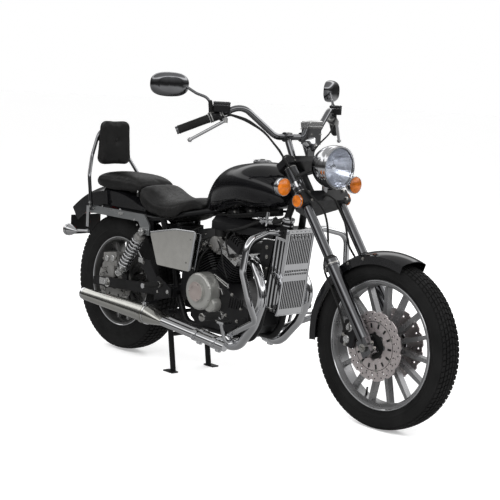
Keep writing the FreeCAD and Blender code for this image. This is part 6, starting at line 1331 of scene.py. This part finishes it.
def makeRearTrim():
    form = bmesh.new()
    for side in (-1, 1):
        high = onSide(shock["top"], side)
        foot = onSide(shock["foot"], side)
        along = (high - foot).normalized()
        out = Vector((0, side, 0))
        lathe(form, [(0, 10.2), (0, 20), (2, 22.5), (18, 22.5), (20, 20), (20, 10.2)], high - along * 45, along,
              40, finish=3)
        for lift in (20, 24, 28):
            ring(form, foot + along * lift, along, 20.1, 23.6, 2)
        for spot in (high, foot):
            seat = spot + out * shock["eye"]
            lathe(form, [(0, 0), (0, 13.5), (2, 13.5), (2, 0)], seat, out, 28)
            lathe(form, [(2, 0), (2, 9.6), (8, 9.6), (8, 0)], seat, out, 6)
            lathe(form, [(8, 0), (8, 7), (11, 6), (13, 3.4), (13.8, 0)], seat, out, 20)
        sideBolts(form, side, rearBolts)
        for x, z in ((-560, 624), (-538, 604)):
            socketBolt(form, (x, side * 131.2, z), out, 4.6, 3.6)
        brick(form, (30, 0.8, 7), (-872, side * 131.4, 640.5), finish=2)
        lathe(form, [(0, 0), (0, 5.6), (2.4, 5), (3.6, 3), (4, 0)], (-576, side * 106, 744), out, 20)
        brick(form, (13, 2, 26), (-576, side * 105.4, 736), finish=2)
        drum(form, (-752, side * 122.2, 319), (-752, side * 125, 319), 21, segments=36)
        brick(form, (44, 1.6, 30), (-790, side * 122.8, 319))
        drum(form, (-812, side * 110, 319), (-836, side * 110, 319), 4, segments=14)
        hexBolt(form, (-822, side * 110, 319), (-1, 0, 0), across=11, height=7)
    settle(form, "rearTrim", "frame", ("polishedAlloy", "boltSteel", "rubberBlack", "dustySilver"))
    posts = bmesh.new()
    for side in (-1, 1):
        for z in (878, 952):
            brick(posts, (16, 30, 20), (-928, side * 52, z))
            hexBolt(posts, (-936, side * 52, z), (-1, 0, 0), across=9, height=3)
    settle(posts, "backrestBrackets", "frame", "satinBlack", soft=1.6)


signals = {"rear": (-976, 188, 534), "front": (424, 196, 865), "rearGroove": (-962, 188, 534),
           "frontGroove": (410, 196, 865),
           "rearRing": [(0, 24.6), (0, 27.2), (3, 27.6), (5.5, 26.8), (5.5, 24.6)],
           "frontRing": [(0, 31.8), (0, 34.2), (3, 34.8), (6.5, 33.8), (6.5, 31.8)]}


def makeTail():
    form = bmesh.new()
    for side in (-1, 1):
        brick(form, (30, 3, 46), (-1103, side * 43, 614.5))
    for z in (591, 638):
        brick(form, (30, 89, 3), (-1103, 0, z))
    settle(form, "tailLampFrame", "frame", "chrome", soft=1.4)
    ribs = bmesh.new()
    for step in range(9):
        brick(ribs, (1.6, 80, 1.4), (-1121.8, 0, 596.5 + step * 4.5))
    settle(ribs, "tailLampRibs", "frame", "redLens")
    plate = bmesh.new()
    brick(plate, (1.4, 160, 84), (-1108.6, 0, 537))
    for z in (581, 493.6):
        brick(plate, (3, 166, 3), (-1108.8, 0, z))
    for side in (-1, 1):
        brick(plate, (3, 3, 90), (-1108.8, side * 81.9, 537.2))
        hexBolt(plate, (-1109.2, side * 70, 566), (-1, 0, 0), across=8, height=3.4, finish=1)
    brick(plate, (6, 52, 14), (-1110.5, 0, 588), finish=2)
    settle(plate, "plateDetail", "frame", ("plateGrey", "boltSteel", "redLens"))


def makeSignalTrim():
    rings = bmesh.new()
    front = bmesh.new()
    lenses = bmesh.new()
    for side in (-1, 1):
        lathe(rings, signals["rearRing"], onSide(signals["rear"], side), (-1, 0, 0), 48)
        lathe(rings, [(0, 27.0), (1.6, 27.4), (3.2, 27.0)], onSide(signals["rearGroove"], side), (-1, 0, 0), 48)
        lathe(front, signals["frontRing"], onSide(signals["front"], side), (1, 0, 0), 56)
        lathe(front, [(0, 33.8), (1.8, 34.4), (3.6, 33.8)], onSide(signals["frontGroove"], side), (1, 0, 0), 56)
        lathe(front, [(0, 23), (0, 25.3), (1.6, 25.3), (2.4, 24.4), (2.4, 23)],
              onFork(fork["legAhead"], side * 134.4, 617), (0, side, 0), 48)
        x, y, z = onSide(signals["front"], side)
        # the rings and spokes on the front lenses are a darker amber: painted shade of the lens facets
        for radius in (9, 17, 25):
            lathe(lenses, [(0, radius - 1.7), (1.8, radius), (0, radius + 1.7)],
                  (x + 14.6 - radius * radius * 0.0085, y, z), (1, 0, 0), 40)
        for angle in range(0, 360, 45):
            out = inFrontView(angle)
            drum(lenses, Vector((x + 14.4, y, z)) + out * 8, Vector((x + 8.4, y, z)) + out * 27, 1.5, segments=6)
    settle(rings, "rearSignalRings", "frame", "chrome")
    settle(front, "frontSignalRings", "fork", "chrome")
    settle(lenses, "frontLensPattern", "fork", "amberRib")


makeRearTrim()
makeTail()
makeSignalTrim()
print("rear end dressed")

# Side covers: polished edges and the return at the front

cover = {"edgeY": 152.6, "top": ((-414, 589), (-252, 620.5), (-124, 624.5)), "front": ((-120, 622), (-150, 462)),
         "returnTop": (-112, 0, 624), "returnFoot": (-149, 0, 458)}


def makeCoverEdges():
    form = bmesh.new()
    top = Vector(cover["returnTop"])
    foot = Vector(cover["returnFoot"])
    for side, word in ((-1, "Right"), (1, "Left")):
        for part, line, radius in (("Top", cover["top"], 3.6), ("Front", cover["front"], 5.5)):
            bentTube("cover" + part + "Edge" + word, [(x, side * cover["edgeY"], z) for x, z in line], radius,
                     "chrome", order=2)
        middle = (top + foot) / 2 + Vector((-1.5, side * 136, 0))
        brick(form, (2.6, 30, (top - foot).length * 0.93), middle, pointing(top - foot))
        for share in (0.2, 0.8):
            spot = foot.lerp(top, share) + Vector((-30, side * 152.8, 0))
            socketBolt(form, spot, (0, side, 0), 4, 2.8, finish=1)
    settle(form, "coverReturns", "frame", ("chrome", "boltSteel"), soft=1)


makeCoverEdges()

# Foot pegs and pedals

pegs = {"front": (111, 209, 323), "frontEnd": (111, 295, 323), "rear": (-352, 158, 372), "pitch": 5}


def ribbed(start, count, low, high, top, end):
    # a sleeve's profile between these end points, with the radii of the grooves, the ridges and their crests
    profile = list(start)
    for step in range(count):
        along = 2 + step * pegs["pitch"]
        profile += [(along, high), (along + 0.8, low), (along + 2.2, low), (along + 3, top)]
    return profile + list(end)


def makePegRubbers():
    form = bmesh.new()
    long = ribbed([(0, 15.05), (0, 16.2)], 16, 15.4, 16.2, 16.6, [(83, 16.4), (84, 15.05)])
    short = ribbed([(0, 11.05), (0, 12)], 14, 11.4, 12, 12.4, [(74, 12), (75, 11.05)])
    for side in (-1, 1):
        out = (0, side, 0)
        lathe(form, long, onSide(pegs["front"], side), out, 30)
        lathe(form, [(0, 15.05), (0, 16), (4, 16), (6, 13), (6.6, 0), (4, 0), (4, 15.05)],
              onSide(pegs["frontEnd"], side), out, 30, finish=1)
        lathe(form, short, onSide(pegs["rear"], side), out, 26)
        drum(form, (-352, side * 136.6, 372), (-352, side * 150, 372), 14, 12.6, segments=28, finish=1)
        brick(form, (37, 41, 4), (205, side * 262, 321.5))
        for step in range(5):
            brick(form, (36, 3, 3), (205, side * 262 - 16 + step * 8, 324))
        drum(form, (111, side * 196, 323), (111, side * 206, 323), 17, segments=28, finish=1)
        hexBolt(form, (111, side * 220, 306), (0, 0, -1), across=9, height=4, finish=1)
    settle(form, "pegRubbers", "frame", ("rubberBlack", "boltSteel"))


makePegRubbers()

# Fork: seals, pinch bolts and clamp bolts

caliper = {"frontAngle": 166, "frontAt": (118, 82.4), "rearAngle": 97, "rearAt": (106, -103)}


def makeForkTrim():
    form = bmesh.new()
    ahead = fork["legAhead"]
    for side in (-1, 1):
        leg = side * fork["legY"]
        out = (0, side, 0)
        seat = onFork(ahead, leg, 358)
        lathe(form, [(-3, 18.7), (-3, 27), (0, 28.2), (5, 27.6), (9, 24), (14, 21), (16, 18.7)], seat, forkUp, 44,
              finish=1)
        lathe(form, [(0, 28.1), (0, 29), (3, 29.4), (6, 29), (6, 28.1)], seat - forkUp * 20, forkUp, 44)
        for forward, up in ((91.2, 600), (91.2, 634), (79, -16), (79, 6)):
            hexBolt(form, onFork(forward, leg, up), forkAhead, across=10, height=5)
        for up in (775, 789):
            socketBolt(form, onFork(90.8, leg, up), forkAhead, 4, 4)
        lathe(form, [(0, 0), (0, 15.5), (3, 16), (4, 12), (4, 9), (-2, 7), (-2, 0)], onFork(ahead, leg, 811.6),
              forkUp, 6)
        drum(form, onFork(30, side * 96, 330), onFork(30, side * 112, 330), 7, segments=20)
        hexBolt(form, onFork(30, side * 112, 330), out, across=9, height=4)
        hexBolt(form, (807, side * 128.4, 316), out, across=15, height=4)
        x, y, z = 275, side * 45, 1042
        for across in (-9, 9):
            for up in (1, -1):
                socketBolt(form, (x + 13, y + across, z + 13 * up), (0.7, 0, 0.7 * up), 3.6, 5)
        brick(form, (44, 31, 3), (x, y, z), turned(-12), finish=1)
        drum(form, (428, side * 128, 905), (458, side * 84, 930), 6.5, segments=18, finish=1)
    lathe(form, [(0, 0), (0, 20), (3, 21), (9, 20), (11, 14), (11, 0)], onFork(0, 0, 795), forkUp, 6)
    settle(form, "forkTrim", "fork", ("boltSteel", "rubberBlack"))


def makePistons():
    pistons = bmesh.new()
    ahead = inSideView(caliper["frontAngle"])
    across = Vector((-ahead.z, 0, ahead.x))
    reach, y = caliper["frontAt"]
    for side in (-1, 1):
        out = (0, side, 0)
        middle = Vector(axles["front"]) + Vector((0, side * y, 0)) + ahead * reach
        for shift in (-23, 23):
            lathe(pistons, [(0, 0), (0, 16), (2.4, 15.4), (4, 13), (4, 8), (2.6, 7), (2.6, 0)],
                  middle + across * shift, out, 32)
        for shift in (-43, 43):
            hexBolt(pistons, middle + across * shift, out, across=11, height=5, finish=1)
        lathe(pistons, [(0, 0), (0, 7), (9, 7), (9, 0)], middle + ahead * 14 + across * 8, out, 14, finish=1)
    settle(pistons, "frontPistons", "fork", ("polishedAlloy", "boltSteel"))
    rear = bmesh.new()
    ahead = inSideView(caliper["rearAngle"])
    across = Vector((-ahead.z, 0, ahead.x))
    reach, y = caliper["rearAt"]
    middle = Vector(axles["rear"]) + Vector((0, y, 0)) + ahead * reach
    for shift in (-22, 22):
        lathe(rear, [(0, 0), (0, 15), (2.4, 14.4), (4, 12), (4, 0)], middle + across * shift, (0, -1, 0), 32)
    for shift in (-42, 42):
        hexBolt(rear, middle + across * shift, (0, -1, 0), across=11, height=5, finish=1)
    settle(rear, "rearPistons", "frame", ("polishedAlloy", "boltSteel"))


makeForkTrim()
makePistons()
print("fork dressed")

# Tank cap, fender bolts, hoses

radiatorHoses = (((252, -36, 650), (214, -40, 662), (150, -46, 640), (96, -40, 600)),
                 ((256, 40, 376), (214, 48, 352), (176, 60, 330), (140, 66, 318)))


def makeTankTrim():
    form = bmesh.new()
    lathe(form, [(0, 33.3), (0, 37.4), (7, 36.6), (8.6, 35), (8.6, 33.3)], (96, 0, 926), (0, 0, 1), 64)
    lathe(form, [(0, 0), (0, 21), (2, 20), (2.4, 12), (2.4, 0)], (96, 0, 936.8), (0, 0, 1), 48)
    brick(form, (9, 15, 3.4), (96, 0, 940.2), finish=1)
    settle(form, "tankCapTrim", "frame", ("chrome", "boltSteel"))
    bolts = bmesh.new()
    for side in (-1, 1):
        for angle in (104, 118):
            spot = Vector(axles["front"]) + Vector((0, side * 65.6, 0)) + inSideView(angle, 322)
            hexBolt(bolts, spot, (0, side, 0), across=9, height=3.6)
    settle(bolts, "frontFenderBolts", "fork", "boltSteel")
    for index, line in enumerate(radiatorHoses):
        bentTube("radiatorHose%d" % index, line, 15, resolution=12, sides=8)


makeTankTrim()
print("tank dressed")

# Fork top shrouds, tray under the tank and the plates behind the side covers

tray = {"tilt": -9, "ribs": (-20, 70, 150), "coils": (10, 104),
        "harness": ((-150, 30, 690), (-60, 46, 700), (60, 52, 716), (170, 46, 738), (240, 34, 744))}
bracket = {"rear": ((-522, 462), (-444, 462), (-392, 398), (-358, 352), (-366, 322), (-388, 316), (-420, 340),
                    (-470, 404), (-512, 436)),
           "front": ((-262, 452), (-186, 452), (-196, 398), (-214, 330), (-244, 318), (-268, 352)),
           "bolts": ((-374, 130.6, 336, 13, 6), (-486, 130.6, 446, 11, 5))}


def outlinePlate(form, outline, near, far):
    # plate of an outline given in x and z, between two places across
    side = [form.verts.new((x, near, z)) for x, z in outline]
    face = form.faces.new(side)
    pulled = bmesh.ops.extrude_face_region(form, geom=[face])
    moved = [item for item in pulled["geom"] if isinstance(item, bmesh.types.BMVert)]
    bmesh.ops.translate(form, verts=moved, vec=(0, far - near, 0))


def makeShrouds():
    form = bmesh.new()
    ahead = fork["legAhead"]
    for side in (-1, 1):
        leg = side * fork["legY"]
        lathe(form, [(0, 18.8), (0, 24.5), (2, 25.5), (8, 25.5), (9, 24.6), (118, 24.6), (119, 25.5), (126, 25.5),
                     (128, 24.5), (128, 18.8)], onFork(ahead, leg, 640.5), forkUp, 48)
        for up in (652, 757):
            ring(form, onFork(ahead, leg, up), forkUp, 24.6, 25.3, 3, 44, finish=1)
    settle(form, "forkShrouds", "fork", ("shroudGrey", "boltSteel"))


def makeTray():
    form = bmesh.new()
    brick(form, (262, 74, 60), (66, 0, 731), turned(tray["tilt"]))
    for x in tray["ribs"]:
        brick(form, (12, 78, 52), (x, 0, 728 + x * 0.14), turned(tray["tilt"]))
    settle(form, "tunnelTray", "frame", "blackPlastic", soft=7, softSteps=3)
    coils = bmesh.new()
    for side in (-1, 1):
        for x in tray["coils"]:
            z = 718 + x * 0.15
            drum(coils, (x - 24, side * 44, z), (x + 24, side * 44, z + 5), 14, segments=24)
            drum(coils, (x + 24, side * 44, z + 5), (x + 36, side * 46, z + 4), 6, 5, segments=14, finish=1)
            sideBolts(coils, side, ((x, 57.6, z + 2, 8, 4),), finish=2)
    settle(coils, "ignitionCoils", "frame", ("blackPlastic", "rubberBlack", "boltSteel"))
    for word, side in (("Right", -1), ("Left", 1)):
        bentTube("tankHarness" + word, [onSide(place, side) for place in tray["harness"]], 5)


def makeBracket():
    form = bmesh.new()
    for side in (-1, 1):
        outlinePlate(form, bracket["rear"], side * 126, side * 130.5)
        sideBolts(form, side, bracket["bolts"], finish=1)
        brick(form, (30, 8, 22), (-497, side * 134, 456), finish=2)
        outlinePlate(form, bracket["front"], side * 96, side * 92)
    settle(form, "sideBrackets", "frame", ("satinBlack", "boltSteel", "polishedAlloy"), soft=1.4)


def makeSplash():
    form = bmesh.new()
    brick(form, (4, 118, 166), (-296, 0, 526), turned(-6))
    for across in (-36, 0, 36):
        brick(form, (7, 9, 150), (-297, across, 526), turned(-6))
    settle(form, "splashPanel", "frame", "blackPlastic", soft=1.6)


makeShrouds()
makeTray()
makeBracket()
makeSplash()
print("shrouds, tray and brackets made")

# End

print("pieces ready")
